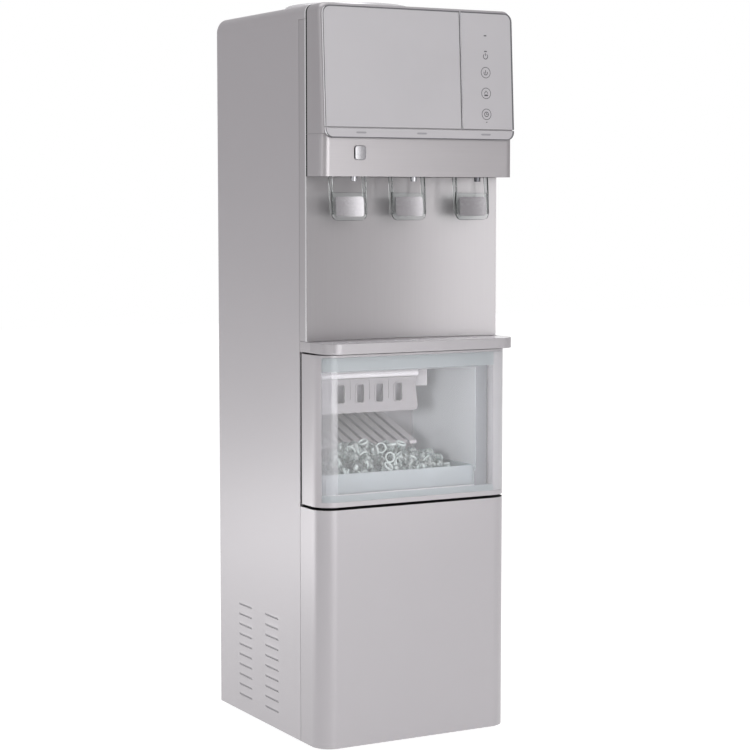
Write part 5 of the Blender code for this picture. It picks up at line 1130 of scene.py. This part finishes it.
class DISPENSER_OT_stage(bpy.types.Operator):
    """Set the floor, the studio light and the camera"""
    bl_idname = "dispenser.stage"
    bl_label = "Stage"

    def execute(self, context):
        scene = context.scene
        look = scene.dispenser_stage
        self.floor(look)
        scene.world = bpy.data.worlds.new("grey_studio")
        tree = emptied(scene.world)
        way = add(tree, "ShaderNodeTexCoord").outputs["Generated"]
        studio = add(tree, "ShaderNodeBackground",
                     {"Color": rgba(linear("F8F5F7")), "Strength": look.ambient})
        white = add(tree, "ShaderNodeBackground", {"Color": (1, 1, 1, 1), "Strength": 1.0})
        # The backdrop behind the object is white for its reflections too, and fades out to both sides
        ahead = add(tree, "ShaderNodeVectorMath", {0: way, 1: (0.5, 0.86, 0.0)}, operation="DOT_PRODUCT")
        near = add(tree, "ShaderNodeMapRange", {"Value": ahead.outputs["Value"],
                                                "From Min": 0.86, "From Max": 0.97})
        share = maths(tree, "MAXIMUM", either_ray(tree, "Camera", "Transmission"), near.outputs["Result"])
        add(tree, "ShaderNodeOutputWorld", {"Surface": mixed(tree, share, studio, white)})

        self.softbox("front_light", (0.2, -2.7, 1.15), (0, 0, 0.55), (1.7, 2.2), look.front)
        self.softbox("side_light", (-2.2, -0.9, 1.3), (-0.1, 0, 0.5), (0.5, 1.6), look.side)
        self.softbox("back_light", (-1.15, 0.9, 0.09), (-0.15, 0, 0.09), (1.1, 0.18), look.low)
        self.softbox("top_light", (-0.3, 0.1, 2.5), (-0.05, 0, 0.5), (1.6, 1.6), look.top)
        self.spot("chamber_light", (-0.95, -1.25, 0.62), (0.055, -0.08, 0.455), 9.0, look.chamber)

        view = bpy.data.cameras.new("photo_view")
        view.lens = 97.68
        view.sensor_width = 36.0
        camera = bpy.data.objects.new("photo_view", view)
        camera.location = (-1.435398, -2.647952, 0.776440)
        camera.rotation_euler = (math.radians(85.068), 0.0, math.radians(-28.807))
        scene.collection.objects.link(camera)
        scene.camera = camera
        scene.view_settings.view_transform = "Standard"
        return {"FINISHED"}

    @staticmethod
    def floor(look):
        """Lay the floor: white to the camera, and still keeping the object's shadow."""
        form = bmesh.new()
        bmesh.ops.create_grid(form, x_segments=8, y_segments=8, size=9.0)
        piece = link("floor", form)
        material = bpy.data.materials.new("matt_white_floor")
        tree = emptied(material)
        share = maths(tree, "MULTIPLY", either_ray(tree, "Camera", "Glossy"), 0.6)
        matt = add(tree, "ShaderNodeBsdfDiffuse", {"Color": rgba(look.floor)})
        glow = add(tree, "ShaderNodeEmission", {"Color": (1, 1, 1, 1), "Strength": 1.5})
        add(tree, "ShaderNodeOutputMaterial", {"Surface": mixed(tree, share, matt, glow)})
        piece.data.materials.append(material)

    @staticmethod
    def lamp(name, kind, place, aim, energy):
        """Add a light of one kind at a place, turned to its aim and unseen by the camera."""
        light = bpy.data.lights.new(name, kind)
        light.energy = energy
        holder = bpy.data.objects.new(name, light)
        holder.location = place
        holder.rotation_euler = (Vector(aim) - Vector(place)).to_track_quat("-Z", "Y").to_euler()
        holder.visible_camera = False
        bpy.context.scene.collection.objects.link(holder)
        return holder

    def softbox(self, name, place, aim, size, energy):
        """Add a rectangular soft light."""
        light = self.lamp(name, "AREA", place, aim, energy).data
        light.shape = "RECTANGLE"
        light.size, light.size_y = size

    def spot(self, name, place, aim, angle, energy):
        """Add a small spot, which lights but is not mirrored."""
        holder = self.lamp(name, "SPOT", place, aim, energy)
        holder.visible_glossy = False
        holder.data.spot_size = math.radians(angle)
        holder.data.spot_blend = 0.5
        holder.data.shadow_soft_size = 0.12


STEPS = (
    DISPENSER_OT_stage, DISPENSER_OT_cabinet, DISPENSER_OT_back, DISPENSER_OT_head, DISPENSER_OT_marks,
    DISPENSER_OT_taps, DISPENSER_OT_tray, DISPENSER_OT_door, DISPENSER_OT_ice_maker, DISPENSER_OT_ice,
    DISPENSER_OT_machinery,
)


class DISPENSER_PT_panel(bpy.types.Panel):
    """Sizes, colours and pieces of the dispenser"""
    bl_idname = "DISPENSER_PT_panel"
    bl_label = "Water Dispenser"
    bl_space_type = "VIEW_3D"
    bl_region_type = "UI"
    bl_category = "Dispenser"

    def draw(self, context):
        for name in LOOKS:
            box = self.layout.box()
            look = getattr(context.scene, name)
            for field in look.__annotations__:
                box.prop(look, field)
        for step in STEPS:
            self.layout.operator(step.bl_idname)


CLASSES = (*LOOKS.values(), *STEPS, DISPENSER_PT_panel)


def register():
    """Register the classes and hang the looks on the scene."""
    for cls in CLASSES:
        bpy.utils.register_class(cls)
    for name, cls in LOOKS.items():
        setattr(bpy.types.Scene, name, PointerProperty(type=cls))


def unregister():
    """Take the looks and classes away again."""
    for name in LOOKS:
        delattr(bpy.types.Scene, name)
    for cls in reversed(CLASSES):
        bpy.utils.unregister_class(cls)


def main():
    """Build every piece in order."""
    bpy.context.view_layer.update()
    register()
    for step in STEPS:
        group, name = step.bl_idname.split(".")
        getattr(getattr(bpy.ops, group), name)()


if __name__ == "__main__":
    main()
